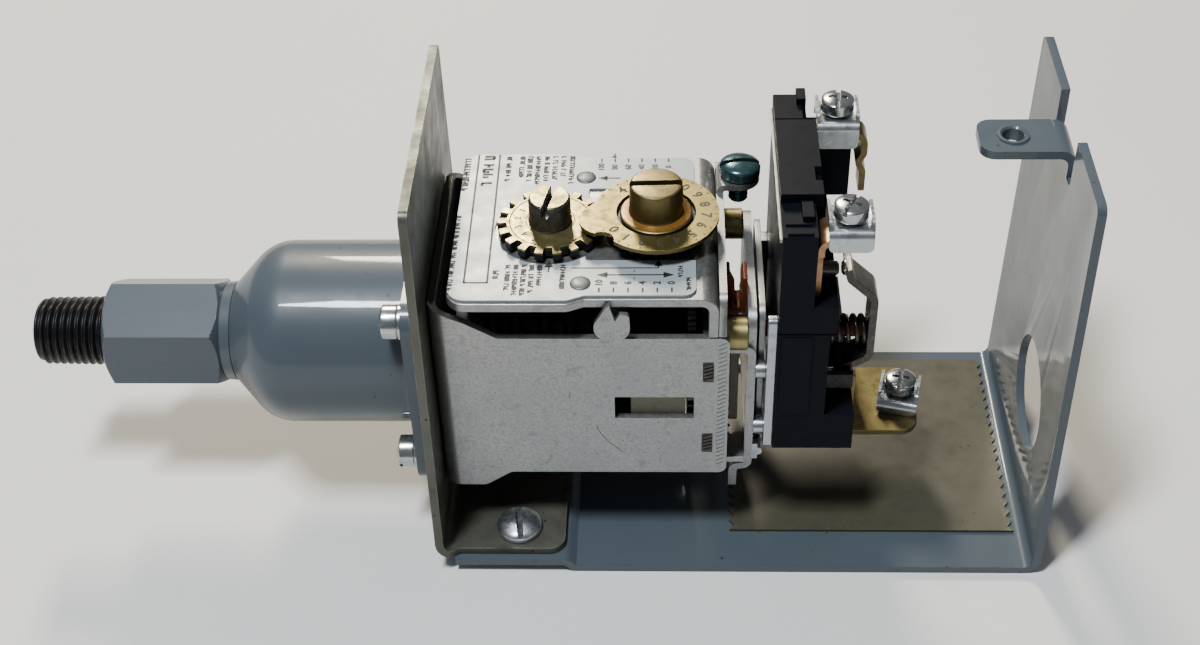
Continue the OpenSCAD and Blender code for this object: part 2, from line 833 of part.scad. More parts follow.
module contact_pivot() {
    color(zinc) in_case() {
        bar_y(1, arm_y - 5.2, arm_y + 5.2, arm_pivot_x, arm_pivot_z);
        for (y = [arm_y - 5.2, arm_y + 3.9])
            block([72.65, y, arm_pivot_z - 1.6], [arm_pivot_x + 1.4, y + 1.3, arm_pivot_z + 1.6]);
    }
}

module contact_arm() {
    pad_x = contact_x + 0.85;
    color([0.30, 0.28, 0.26]) in_case() difference() {
        union() {
            bar_y(1.9, arm_y - arm_w / 2, arm_y + arm_w / 2, arm_pivot_x, arm_pivot_z);
            panel_y(arm_y - arm_w / 2, arm_w)
                polygon([[arm_pivot_x, arm_pivot_z + 1.8], [arm_pivot_x + 1.2, arm_pivot_z - 1.2],
                         [arm_x1 + 1, 40.6], [arm_x1 + 1, 56.4], [pad_x + 1.1, 62.4], [pad_x, 62.4],
                         [pad_x, 58.4], [pad_x + 1.1, 58.4], [pad_x + 1.1, 60.6], [arm_x1, 55.9],
                         [arm_x1, 41]]);
        }
        bar_y(1 + fit, -30, 30, arm_pivot_x, arm_pivot_z);
    }
}

module moving_contact() {
    color([0.85, 0.85, 0.84]) in_case() bar_x(1.4, contact_x, contact_x + 0.83, arm_y - 1.4, contact_z);
}

module contact_spring() {
    color(zinc) in_case() coil_x(2.4, 0.8, 4, 72.65, arm_x1 - 0.05, arm_y, pin_z, 14, 6);
}

base_plate();
conduit_end_plate();
insulating_liner();
end_bracket();
bracket_screws();
bellows_housing();
housing_screws();
inlet_fitting();
pipe_nipple();
bellows_ring();
bellows();
bellows_cap();
push_rod();
rod_button();
spring_seat();
mechanism_frame();
frame_end_plate();
top_plate();
ground_strap();
rack_guides();
scale_plate();
scale_rivets();
dial_bushings();
range_spring();
range_sleeve();
range_wheel();
range_nut();
range_pointer();
range_post();
range_gear();
range_dial();
range_pinion();
differential_post();
differential_star();
differential_pinion();
differential_rack();
differential_pointer();
differential_spring();
ground_screw();
frame_spacers();
contact_bracket();
block_mounting_plate();
lever_pin();
operating_lever();
transfer_pin();
contact_block();
block_screws();
terminal_strip_back();
terminal_strip_front();
terminal_strip_lower();
terminal_saddles();
terminal_screws();
fixed_contacts();
contact_pivot();
contact_arm();
moving_contact();
contact_spring();
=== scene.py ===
import json
import math
import random
import bmesh
import bpy
from mathutils import Euler, Matrix, Vector


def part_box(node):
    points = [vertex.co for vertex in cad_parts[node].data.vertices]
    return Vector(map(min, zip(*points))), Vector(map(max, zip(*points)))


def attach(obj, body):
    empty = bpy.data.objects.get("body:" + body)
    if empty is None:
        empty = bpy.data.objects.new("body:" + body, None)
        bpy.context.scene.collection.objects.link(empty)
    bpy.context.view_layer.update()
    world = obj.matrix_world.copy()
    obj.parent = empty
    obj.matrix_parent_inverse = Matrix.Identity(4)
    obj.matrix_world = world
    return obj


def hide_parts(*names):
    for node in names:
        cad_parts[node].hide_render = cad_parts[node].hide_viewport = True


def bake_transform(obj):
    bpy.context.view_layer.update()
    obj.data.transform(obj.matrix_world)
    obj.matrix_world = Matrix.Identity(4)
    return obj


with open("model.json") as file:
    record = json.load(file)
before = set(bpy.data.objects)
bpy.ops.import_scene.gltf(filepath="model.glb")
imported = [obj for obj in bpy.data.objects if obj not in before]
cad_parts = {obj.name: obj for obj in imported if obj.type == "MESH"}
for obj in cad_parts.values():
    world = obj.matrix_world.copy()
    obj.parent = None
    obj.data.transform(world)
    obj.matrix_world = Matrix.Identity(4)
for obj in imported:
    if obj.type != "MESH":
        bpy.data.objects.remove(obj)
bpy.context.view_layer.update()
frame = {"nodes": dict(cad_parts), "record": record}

# Case millimetres: X = 0 at the end bracket's outer face, Y = 0 on the middle, Z = 0 on the table.
MM = 0.001
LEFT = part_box("end_bracket")[0].x
record = frame["record"]
BODY = {n: b for b, members in record["behaviour"]["bodies"].items() for n in members}
SLOT = {part["node"]: part["material_slot"] for part in record["subparts"]}
MOUNT = {m["name"]: m for m in record["mounts"]}


def case(point):
    """A point in case millimetres, in the frame's metres."""
    return Vector((LEFT + point[0] * MM, point[1] * MM, point[2] * MM))


def millimetres(point):
    """A point of the frame, in case millimetres."""
    return Vector(((point[0] - LEFT) / MM, point[1] / MM, point[2] / MM))


def span(node):
    """Lowest and highest corner of a CAD node, in case millimetres."""
    return [millimetres(corner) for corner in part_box(node)]


# ---- Materials ----

class Look:
    """A node-based material on the Principled shader, with its patterns in object millimetres."""

    def __init__(self, name, colour, metallic=0.0, roughness=0.5, coat=0.0, specular=0.5):
        self.material = bpy.data.materials.new(name)
        self.material.use_nodes = True
        self.tree = self.material.node_tree
        self.shader = self.tree.nodes["Principled BSDF"]
        self.colour = self.rgba(colour)
        self.roughness = roughness
        self.shader.inputs["Metallic"].default_value = metallic
        self.shader.inputs["Roughness"].default_value = roughness
        self.shader.inputs["Specular IOR Level"].default_value = specular
        self.shader.inputs["Coat Weight"].default_value = coat
        self.shader.inputs["Coat Roughness"].default_value = 0.05
        self.shader.inputs["Base Color"].default_value = self.colour
        self.height = None

    @staticmethod
    def rgba(colour):
        return tuple(colour) + (1.0,)

    def node(self, kind, **settings):
        made_node = self.tree.nodes.new("ShaderNode" + kind)
        for key, value in settings.items():
            setattr(made_node, key, value)
        return made_node

    def link(self, source, target):
        self.tree.links.new(source, target)

    def place(self, stretch=(1, 1, 1)):
        """Object coordinates in millimetres, stretched along the axes."""
        coords = self.node("TexCoord")
        mapping = self.node("Mapping")
        mapping.inputs["Scale"].default_value = [1 / MM / s for s in stretch]
        self.link(coords.outputs["Object"], mapping.inputs["Vector"])
        return mapping.outputs["Vector"]

    def noise(self, size, detail=3.0, stretch=(1, 1, 1), rough=0.55):
        """Noise whose features are about size millimetres across."""
        noise = self.node("TexNoise")
        noise.inputs["Scale"].default_value = 1 / size
        noise.inputs["Detail"].default_value = detail
        noise.inputs["Roughness"].default_value = rough
        self.link(self.place(stretch), noise.inputs["Vector"])
        return noise.outputs["Fac"]

    def spots(self, size, reach):
        """1 inside scattered dots, 0 elsewhere; cells are size millimetres apart."""
        cells = self.node("TexVoronoi")
        cells.inputs["Scale"].default_value = 1 / size
        self.link(self.place(), cells.inputs["Vector"])
        return self.band(cells.outputs["Distance"], reach, reach * 0.6, 0.0, 1.0)

    def band(self, value, lo, hi, out_lo=0.0, out_hi=1.0):
        """value from lo..hi mapped to out_lo..out_hi and clamped."""
        mapper = self.node("MapRange", clamp=True)
        mapper.inputs["From Min"].default_value = lo
        mapper.inputs["From Max"].default_value = hi
        mapper.inputs["To Min"].default_value = out_lo
        mapper.inputs["To Max"].default_value = out_hi
        self.link(value, mapper.inputs["Value"])
        return mapper.outputs["Result"]

    def times(self, a, b):
        product = self.node("Math", operation="MULTIPLY")
        self.link(a, product.inputs[0])
        if isinstance(b, (int, float)):
            product.inputs[1].default_value = b
        else:
            self.link(b, product.inputs[1])
        return product.outputs["Value"]

    def tint(self, share, colour):
        """Mixes the base colour so far towards colour by share."""
        mix = self.node("Mix", data_type="RGBA")
        self.link(share, mix.inputs["Factor"])
        if isinstance(self.colour, tuple):
            mix.inputs[6].default_value = self.colour
        else:
            self.link(self.colour, mix.inputs[6])
        mix.inputs[7].default_value = self.rgba(colour)
        self.colour = mix.outputs[2]
        self.link(self.colour, self.shader.inputs["Base Color"])

    def gloss(self, value, lo, hi):
        """Roughness runs from lo to hi with value."""
        self.link(self.band(value, 0.25, 0.75, lo, hi), self.shader.inputs["Roughness"])

    def bump(self, value, depth, strength=1.0):
        """Adds a relief; depth is in millimetres."""
        bump = self.node("Bump")
        bump.inputs["Strength"].default_value = strength
        bump.inputs["Distance"].default_value = depth * MM
        self.link(value, bump.inputs["Height"])
        if self.height is not None:
            self.link(self.height, bump.inputs["Normal"])
        self.height = bump.outputs["Normal"]
        self.link(self.height, self.shader.inputs["Normal"])

    def edges(self, radius, colour, share=0.8):
        """Tints the colour in patches where the surface turns sharply within radius millimetres: edge wear
        on the paints, a painted highlight on the zinc.
        """
        bevel = self.node("Bevel", samples=6)
        bevel.inputs["Radius"].default_value = radius * MM
        geometry = self.node("NewGeometry")
        dot = self.node("VectorMath", operation="DOT_PRODUCT")
        self.link(bevel.outputs["Normal"], dot.inputs[0])
        self.link(geometry.outputs["Normal"], dot.inputs[1])
        turn = self.band(dot.outputs["Value"], 0.985, 0.90, 0.0, 1.0)
        patches = self.band(self.noise(3.0, 4.0), 0.42, 0.62, 0.0, share)
        self.tint(self.times(turn, patches), colour)


def painted_case():
    look = Look("painted_case", (0.053, 0.070, 0.086), roughness=0.42, coat=0.35, specular=0.25)
    look.tint(look.band(look.noise(22, 4), 0.42, 0.75, 0, 0.5), (0.064, 0.077, 0.084))
    look.tint(look.band(look.noise(5, 6, rough=0.7), 0.60, 0.78, 0, 0.35), (0.045, 0.056, 0.062))
    look.tint(look.times(look.spots(3.1, 0.13), look.band(look.noise(14, 2), 0.5, 0.6)),
              (0.02, 0.022, 0.022))
    look.edges(0.35, (0.05, 0.052, 0.048), 0.75)
    look.gloss(look.noise(9, 5), 0.36, 0.48)
    look.bump(look.noise(1.6, 2), 0.03, 0.35)
    look.bump(look.noise(0.35, 2), 0.006, 0.5)
    return look.material


def olive_zinc():
    look = Look("olive_zinc", (0.064, 0.067, 0.050), metallic=0.45, roughness=0.46)
    look.tint(look.band(look.noise(18, 4, (1, 1, 2.2)), 0.40, 0.68, 0, 0.75), (0.105, 0.106, 0.086))
    look.tint(look.band(look.noise(3.5, 6, rough=0.7), 0.55, 0.75, 0, 0.7), (0.032, 0.034, 0.025))
    look.tint(look.times(look.spots(2.2, 0.16), look.band(look.noise(9, 2), 0.48, 0.6)),
              (0.015, 0.015, 0.012))
    look.edges(0.35, (0.26, 0.25, 0.19), 0.6)
    look.gloss(look.noise(5, 5), 0.30, 0.58)
    look.bump(look.noise(0.7, 3), 0.015, 0.5)
    return look.material


def zinc():
    look = Look("zinc", (0.34, 0.345, 0.335), metallic=0.9, roughness=0.38)
    look.tint(look.band(look.noise(0.55, 3, rough=0.7), 0.45, 0.62, 0, 0.6), (0.20, 0.205, 0.20))
    look.tint(look.band(look.noise(9, 5), 0.42, 0.7, 0, 0.5), (0.27, 0.275, 0.285))
    look.tint(look.band(look.noise(2.4, 4), 0.58, 0.72, 0, 0.4), (0.16, 0.162, 0.15))
    look.tint(look.times(look.spots(1.3, 0.12), look.band(look.noise(6, 2), 0.5, 0.58)), (0.09, 0.09, 0.085))
    # Painted highlight: the sharp edges are lightened to near-white to stand in for light catching them.
    look.edges(0.14, (0.62, 0.62, 0.60), 0.6)
    look.gloss(look.noise(1.2, 4), 0.30, 0.50)
    look.bump(look.noise(0.4, 3), 0.006, 0.45)
    return look.material


def bright_metal(name, colour, shade, rough_lo, rough_hi):
    look = Look(name, colour, metallic=0.95, roughness=rough_lo)
    look.tint(look.band(look.noise(1.8, 4), 0.50, 0.72, 0, 0.6), shade)
    look.gloss(look.noise(1.3, 3), rough_lo, rough_hi)
    look.bump(look.noise(0.9, 2), 0.004, 0.25)
    return look.material


def dark_steel(name, colour, roughness):
    look = Look(name, colour, metallic=0.7, roughness=roughness)
    look.tint(look.band(look.noise(1.1, 4), 0.5, 0.72, 0, 0.6), [c * 2.2 for c in colour])
    look.gloss(look.noise(1.5, 3), roughness - 0.08, roughness + 0.12)
    look.bump(look.noise(0.3, 2), 0.006, 0.5)
    return look.material


def brass(name, colour, tarnish, amount):
    look = Look(name, colour, metallic=0.92, roughness=0.34)
    look.tint(look.band(look.noise(3.2, 5, rough=0.65), 0.47, 0.72, 0, amount), tarnish)
    look.tint(look.times(look.spots(1.1, 0.15), look.band(look.noise(4, 2), 0.5, 0.6)), (0.05, 0.035, 0.015))
    look.gloss(look.noise(1.6, 4), 0.26, 0.48)
    look.bump(look.noise(0.35, 2), 0.008, 0.5)
    return look.material


def scale_aluminium():
    look = Look("scale_aluminium", (0.29, 0.325, 0.345), metallic=0.1, roughness=0.40)
    look.tint(look.band(look.noise(6, 5), 0.55, 0.8, 0, 0.35), (0.245, 0.268, 0.268))
    look.tint(look.times(look.spots(2.3, 0.07), look.band(look.noise(7, 2), 0.5, 0.6)), (0.10, 0.10, 0.09))
    look.gloss(look.noise(4, 3), 0.30, 0.42)
    look.bump(look.noise(0.25, 2), 0.003, 0.4)
    return look.material


def phenolic(name, colour, roughness):
    look = Look(name, colour, roughness=roughness, specular=0.07)
    look.tint(look.band(look.noise(0.9, 5), 0.52, 0.75, 0, 0.4), [c * 1.35 for c in colour])
    look.gloss(look.noise(2.0, 3), roughness - 0.08, roughness + 0.12)
    look.bump(look.noise(0.5, 3), 0.012, 0.5)
    return look.material


def fibre_liner():
    look = Look("fibre_liner", (0.052, 0.049, 0.030), roughness=0.42)
    look.tint(look.band(look.noise(14, 4), 0.40, 0.75, 0, 0.7), (0.034, 0.034, 0.025))
    look.tint(look.band(look.noise(1.2, 6, rough=0.75), 0.55, 0.78, 0, 0.5), (0.085, 0.078, 0.050))
    look.tint(look.times(look.spots(2.6, 0.12), look.band(look.noise(10, 2), 0.48, 0.6)),
              (0.01, 0.01, 0.008))
    look.gloss(look.noise(3, 4), 0.34, 0.52)
    look.bump(look.noise(0.8, 4), 0.02, 0.5)
    return look.material


def plain(name, colour, metallic, roughness, relief=0.006):
    look = Look(name, colour, metallic=metallic, roughness=roughness)
    look.tint(look.band(look.noise(1.2, 4), 0.5, 0.75, 0, 0.5), [c * 0.55 for c in colour])
    look.gloss(look.noise(1.0, 3), roughness - 0.07, roughness + 0.1)
    look.bump(look.noise(0.3, 2), relief, 0.5)
    return look.material


ZINC = zinc()
LOOKS = {
    "painted_case": painted_case(),
    "fibre_liner": fibre_liner(),
    "olive_zinc": olive_zinc(),
    "zinc": ZINC,
    "bright_zinc": bright_metal("bright_zinc", (0.43, 0.455, 0.475), (0.22, 0.235, 0.25), 0.22, 0.40),
    "screw_steel": bright_metal("screw_steel", (0.44, 0.455, 0.455), (0.22, 0.23, 0.23), 0.14, 0.28),
    "dark_olive": plain("dark_olive", (0.045, 0.040, 0.022), 0.3, 0.45),
    "black_steel": dark_steel("black_steel", (0.018, 0.018, 0.019), 0.36),
    "spring_steel": dark_steel("spring_steel", (0.060, 0.054, 0.048), 0.30),
    "brass": brass("brass", (0.19, 0.155, 0.065), (0.09, 0.072, 0.032), 0.8),
    "pale_brass": brass("pale_brass", (0.30, 0.25, 0.11), (0.15, 0.12, 0.045), 0.85),
    "dial_brass": brass("dial_brass", (0.20, 0.165, 0.062), (0.10, 0.080, 0.028), 0.85),
    "scale_plate": scale_aluminium(),
    "rivet_steel": plain("rivet_steel", (0.11, 0.12, 0.12), 0.6, 0.42),
    "brown_phenolic": phenolic("brown_phenolic", (0.085, 0.024, 0.010), 0.22),
    "black_phenolic": phenolic("black_phenolic", (0.0035, 0.0045, 0.0075), 0.46),
    "silver_contact": plain("silver_contact", (0.75, 0.74, 0.72), 1.0, 0.25),
    "green_ground": plain("green_ground", (0.050, 0.105, 0.115), 0.75, 0.24),
    "black_print": plain("black_print", (0.012, 0.012, 0.013), 0.0, 0.55, 0.001),
    "engraving": plain("engraving", (0.045, 0.035, 0.018), 0.2, 0.6, 0.001),
    "copper_strip": brass("copper_strip", (0.34, 0.20, 0.11), (0.18, 0.10, 0.05), 0.6),
    "olive_brass": brass("olive_brass", (0.16, 0.132, 0.058), (0.08, 0.064, 0.028), 0.85),
    "drab": plain("drab", (0.12, 0.115, 0.080), 0.3, 0.5),
    "stain": plain("stain", (0.22, 0.10, 0.015), 0.4, 0.3, 0.002),
}


# ---- Outlines ----

def arc(centre, radius, start, end, steps=8):
    """Points on an arc between two angles in degrees, both ends included."""
    turns = [math.radians(start + (end - start) * i / steps) for i in range(steps + 1)]
    return [(centre[0] + radius * math.cos(a), centre[1] + radius * math.sin(a)) for a in turns]


def corner(before, point, after, radius, steps=5):
    """Points that round one corner of an outline."""
    tip = Vector(point)
    one = Vector(before) - tip
    two = Vector(after) - tip
    half = one.angle(two) / 2
    if radius <= 0 or half > math.radians(88):
        return [tuple(tip)]
    back = min(radius / math.tan(half), one.length * 0.49, two.length * 0.49)
    radius = back * math.tan(half)
    centre = tip + (one.normalized() + two.normalized()).normalized() * radius / math.sin(half)
    start = tip + one.normalized() * back - centre
    end = tip + two.normalized() * back - centre
    sweep = start.angle(end)
    shares = [i / steps for i in range(steps + 1)]
    return [tuple(centre + (start * math.sin((1 - s) * sweep) + end * math.sin(s * sweep)) / math.sin(sweep))
            for s in shares]


def listed(radius, count):
    return list(radius) if isinstance(radius, (list, tuple)) else [radius] * count


def rounded(points, radius, steps=5):
    """A closed outline with rounded corners; radius is one number, or one for each corner."""
    radii = listed(radius, len(points))
    out = []
    for i, point in enumerate(points):
        out += corner(points[i - 1], point, points[(i + 1) % len(points)], radii[i], steps)
    return out


def box_outline(a0, b0, a1, b1, radius=0.0):
    return rounded([(a0, b0), (a1, b0), (a1, b1), (a0, b1)], radius)


def sheet_section(path, thick, radius, steps=6):
    """The section of a bent sheet whose middle line follows path."""
    radii = listed(radius, len(path))
    line = [Vector(path[0])]
    for i in range(1, len(path) - 1):
        line += [Vector(p) for p in corner(path[i - 1], path[i], path[i + 1], radii[i], steps)]
    line.append(Vector(path[-1]))
    one_side = []
    other_side = []
    for i, point in enumerate(line):
        along = (line[min(i + 1, len(line) - 1)] - line[max(i - 1, 0)]).normalized()
        across = Vector((-along.y, along.x)) * thick / 2
        one_side.append(tuple(point + across))
        other_side.append(tuple(point - across))
    return one_side + other_side[::-1]


def toothed(inner, outer, teeth, share=0.5, taper=0.75):
    """The outline of a toothed wheel; share is how much of the pitch a tooth fills."""
    out = []
    pitch = 360 / teeth
    for i in range(teeth):
        middle = i * pitch
        root = pitch * share / 2
        tip = root * taper
        for angle, radius in ((-root, inner), (-tip, outer), (tip, outer), (root, inner)):
            a = math.radians(middle + angle)
            out.append((radius * math.cos(a), radius * math.sin(a)))
        for extra in (0.33, 0.67):
            a = math.radians(middle + root + (pitch - 2 * root) * extra)
            out.append((inner * math.cos(a), inner * math.sin(a)))
    return out


def moved(points, dx, dy):
    return [(a + dx, b + dy) for a, b in points]


# ---- Solids ----

def made(mesh_data):
    """A new object from a bmesh, with its faces looking outwards."""
    bmesh.ops.remove_doubles(mesh_data, verts=mesh_data.verts, dist=1e-5)
    bmesh.ops.recalc_face_normals(mesh_data, faces=mesh_data.faces)
    mesh = bpy.data.meshes.new("solid")
    mesh_data.to_mesh(mesh)
    mesh_data.free()
    obj = bpy.data.objects.new("solid", mesh)
    bpy.context.scene.collection.objects.link(obj)
    return obj


PLACES = {
    "x": lambda a, b, along: (along, a, b),
    "y": lambda a, b, along: (a, along, b),
    "z": lambda a, b, along: (a, b, along),
}


def prism(points, axis, lo, hi):
    """A flat outline pushed along an axis: (y, z) along x, (x, z) along y, (x, y) along z."""
    place = PLACES[axis]
    bm = bmesh.new()
    low = [bm.verts.new(place(a, b, lo)) for a, b in points]
    high = [bm.verts.new(place(a, b, hi)) for a, b in points]
    bm.faces.new(low)
    bm.faces.new(high[::-1])
    for i in range(len(points)):
        j = (i + 1) % len(points)
        bm.faces.new((low[i], high[i], high[j], low[j]))
    return made(bm)


def block(lo, hi):
    return prism([(lo[0], lo[1]), (hi[0], lo[1]), (hi[0], hi[1]), (lo[0], hi[1])], "z", lo[2], hi[2])


def turned(profile, axis="z", at=(0, 0, 0), steps=64):
    """(radius, height) points turned about an axis through at; an open profile ends on the axis."""
    bm = bmesh.new()
    rings = []
    for radius, height in profile:
        count = 1 if radius < 1e-6 else steps
        ring = []
        for k in range(count):
            a = 2 * math.pi * k / steps
            flat = (radius * math.cos(a), radius * math.sin(a))
            ring.append(bm.verts.new(Vector(PLACES[axis](flat[0], flat[1], height)) + Vector(at)))
        rings.append(ring)
    closed = profile[0][0] > 1e-6
    pairs = list(zip(rings, rings[1:])) + ([(rings[-1], rings[0])] if closed else [])
    for one, two in pairs:
        for k in range(steps):
            j = (k + 1) % steps
            corners = [one[k % len(one)], one[j % len(one)], two[j % len(two)], two[k % len(two)]]
            corners = [v for i, v in enumerate(corners) if v not in corners[:i]]
            if len(corners) > 2:
                bm.faces.new(corners)
    return made(bm)


def rod(radius, axis, lo, hi, at=(0, 0, 0), steps=48, chamfer=0.0):
    """A plain round bar, used for bores and small pins."""
    c = chamfer
    profile = [(0, lo), (radius - c, lo), (radius, lo + c), (radius, hi - c), (radius - c, hi), (0, hi)]
    if c == 0:
        profile = [(0, lo), (radius, lo), (radius, hi), (0, hi)]
    return turned(profile, axis, at, steps)


def grid_tube(rows, steps, caps=True):
    """A closed tube of rings; rows is a list of rings of points."""
    bm = bmesh.new()
    rings = [[bm.verts.new(p) for p in row] for row in rows]
    for one, two in zip(rings, rings[1:]):
        for k in range(steps):
            j = (k + 1) % steps
            bm.faces.new((one[k], one[j], two[j], two[k]))
    if caps:
        bm.faces.new(rings[0])
        bm.faces.new(rings[-1])
    return made(bm)


def coil(radius, wire, turns, lo, hi, y, z, steps=28, sides=12):
    """A closed-end spring along X between lo and hi."""
    rows = []
    count = int(turns * steps)
    middle_lo = lo + wire / 2
    middle_hi = hi - wire / 2
    for i in range(count + 1):
        share = i / count
        a = 2 * math.pi * turns * share
        eased_share = share + 0.5 / turns / math.pi * math.sin(-2 * math.pi * share)
        x = middle_lo + (middle_hi - middle_lo) * eased_share
        row = []
        for k in range(sides):
            b = 2 * math.pi * k / sides
            r = radius + wire / 2 * math.cos(b)
            row.append((x + wire / 2 * math.sin(b), y + r * math.cos(a), z + r * math.sin(a)))
        rows.append(row)
    return grid_tube(rows, sides)


def wire_tube(points, radius, sides=8):
    """A round wire through points."""
    rows = []
    line = [Vector(p) for p in points]
    for i, point in enumerate(line):
        along = (line[min(i + 1, len(line) - 1)] - line[max(i - 1, 0)]).normalized()
        side = along.cross(Vector((0.3, 0.9, 0.2))).normalized()
        up = along.cross(side)
        turns = [2 * math.pi * k / sides for k in range(sides)]
        rows.append([point + side * radius * math.cos(a) + up * radius * math.sin(a) for a in turns])
    return grid_tube(rows, sides)


def applied(obj):
    """The object with its modifiers applied to the mesh."""
    graph = bpy.context.evaluated_depsgraph_get()
    mesh = bpy.data.meshes.new_from_object(obj.evaluated_get(graph))
    obj.modifiers.clear()
    obj.data = mesh
    return obj


def combine(obj, tools, how="DIFFERENCE"):
    for tool in tools:
        step = obj.modifiers.new("combine", "BOOLEAN")
        step.operation = how
        step.solver = "EXACT"
        step.object = tool
    applied(obj)
    for tool in tools:
        bpy.data.objects.remove(tool)
    return obj


def cut(obj, *tools):
    return combine(obj, tools)


def kept(obj, *tools):
    return combine(obj, tools, "INTERSECT")


def fused(obj, *tools):
    return combine(obj, tools, "UNION")


def together(*objs):
    """Several closed solids as one object."""
    bm = bmesh.new()
    for obj in objs:
        obj.data.transform(obj.matrix_world)
        bm.from_mesh(obj.data)
        bpy.data.objects.remove(obj)
    mesh = bpy.data.meshes.new("solid")
    bm.to_mesh(mesh)
    bm.free()
    out = bpy.data.objects.new("solid", mesh)
    bpy.context.scene.collection.objects.link(out)
    return out


def turned_to(obj, at, axis="z", spin=0.0, tilt=(0, 0, 0)):
    """Moves a solid built about +Z at the origin so that its +Z points along axis, at a place."""
    aims = {"z": (0, 0, 0), "-x": (0, -90, 0), "x": (0, 90, 0), "-y": (90, 0, 0), "-z": (180, 0, 0)}
    aim = Euler([math.radians(a) for a in aims[axis]]).to_matrix().to_4x4()
    lean = Euler([math.radians(a) for a in tilt]).to_matrix().to_4x4()
    obj.data.transform(Matrix.Translation(at) @ lean @ aim @ Matrix.Rotation(math.radians(spin), 4, "Z"))
    return obj


def eased(obj, width=0.15, segments=2, angle=32):
    """Rounds the sharp edges a little, as real parts have."""
    bevel = obj.modifiers.new("ease", "BEVEL")
    bevel.width = width
    bevel.segments = segments
    bevel.limit_method = "ANGLE"
    bevel.angle_limit = math.radians(angle)
    bevel.miter_outer = "MITER_ARC"
    return applied(obj)


def finished(obj, name, ease=0.15, sharp=38, segments=2):
    """Eases, smooths, scales to metres and names a solid."""
    bm = bmesh.new()
    bm.from_mesh(obj.data)
    bmesh.ops.remove_doubles(bm, verts=bm.verts, dist=1e-4)
    bmesh.ops.dissolve_degenerate(bm, edges=bm.edges, dist=1e-4)
    bm.to_mesh(obj.data)
    bm.free()
    if ease:
        eased(obj, ease, segments)
    mesh = obj.data
    mesh.polygons.foreach_set("use_smooth", [True] * len(mesh.polygons))
    mesh.set_sharp_from_angle(angle=math.radians(sharp))
    weighted = obj.modifiers.new("normals", "WEIGHTED_NORMAL")
    weighted.keep_sharp = True
    applied(obj)
    obj.data.transform(Matrix.Translation((LEFT, 0, 0)) @ Matrix.Scale(MM, 4))
    obj.name = name
    obj.data.name = name
    return obj


def piece(obj, name, node, look=None, ease=0.15, sharp=38, stands_for=(), segments=2, bend=None):
    """Finishes a solid, gives it its material and ties it to the body of the CAD node it stands for; given
    bend, it is left in place and tied to no body.
    """
    finished(obj, name, ease, sharp, segments)
    obj.data.materials.clear()
    obj.data.materials.append(LOOKS[look or SLOT[node]])
    if bend:
        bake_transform(obj)
    else:
        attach(obj, BODY[node])
    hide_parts(*(stands_for or (node,)))
    return obj


def extra(obj, name, node, look, ease=0.0, sharp=38):
    """A detail that rides with a node without replacing it."""
    finished(obj, name, ease, sharp)
    obj.data.materials.clear()
    obj.data.materials.append(LOOKS[look])
    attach(obj, BODY[node])
    return obj


def numeral(text, size, at, spin=0.0, deep=0.05):
    """A generic number standing on a horizontal face, read from the direction spin."""
    curve = bpy.data.curves.new("numeral", "FONT")
    curve.body = text
    curve.size = size
    curve.extrude = deep / 2
    curve.offset = size * 0.026
    curve.align_x = "CENTER"
    curve.align_y = "CENTER"
    curve.resolution_u = 2
    letters = bpy.data.objects.new("numeral", curve)
    bpy.context.scene.collection.objects.link(letters)
    graph = bpy.context.evaluated_depsgraph_get()
    mesh = bpy.data.meshes.new_from_object(letters.evaluated_get(graph))
    bpy.data.objects.remove(letters)
    mesh.transform(Matrix.Translation(at) @ Matrix.Rotation(math.radians(spin), 4, "Z"))
    out = bpy.data.objects.new("solid", mesh)
    bpy.context.scene.collection.objects.link(out)
    return out


# ---- Screws ----

def screw(head_r, head_h, dome, slot_w, slot_d, shank_r, shank_l, cross=False, side=0.75, pitch=0.8,
          flange=None):
    """A machine screw about +Z with its head's underside at 0; dome is how much of the head is crowned."""
    shank = [(0, -shank_l)]
    turns = int(shank_l / pitch)
    for i in range(turns):
        z = -shank_l + i * pitch
        shank += [(shank_r * 0.84, z), (shank_r, z + pitch / 2)]
    shank += [(shank_r * 0.84, -0.02)]
    under = [(flange[0], 0), (flange[0], flange[1]),
             (head_r, flange[1] + 0.15)] if flange else [(head_r * 0.96, 0)]
    wall_top = head_h - dome
    crown = [(head_r * math.cos(math.radians(a)) * 1.0, wall_top + dome * math.sin(math.radians(a)))
             for a in range(0, 90, 10)]
    crown = [(r, z) for r, z in crown if r > head_r * 0.1]
    profile = shank + under + [(head_r, max(head_h * 0.08, under[-1][1] + 0.1)), (head_r, wall_top * side)]
    obj = turned(profile + crown + [(0, head_h)], "z", steps=56)
    reach = head_r * 1.4
    cutters = [block((-reach, -slot_w / 2, head_h - slot_d), (reach, slot_w / 2, head_h + 2))]
    if cross:
        arm = head_r * 0.56
        cutters.append(block((-slot_w * 0.42, -arm, head_h - slot_d * 1.1),
                             (slot_w * 0.42, arm, head_h + 2)))
    return cut(obj, *cutters)


# ---- Case ----

SHEET = 1.6
CASE_HI = span("base_plate")[1]
END_LO, END_HI = span("conduit_end_plate")
BRACKET_HI = span("end_bracket")[1]
HALF = CASE_HI.y
TOP_HALF = 26.5


def end_outline(height):
    """An end plate's outline: full width at the base, narrower at the top."""
    return rounded([(-HALF, -2), (HALF, -2), (HALF, 3.4), (TOP_HALF, height), (-TOP_HALF, height),
                    (-HALF, 3.4)],
                   [0, 0, 2, 1.8, 1.8, 2])


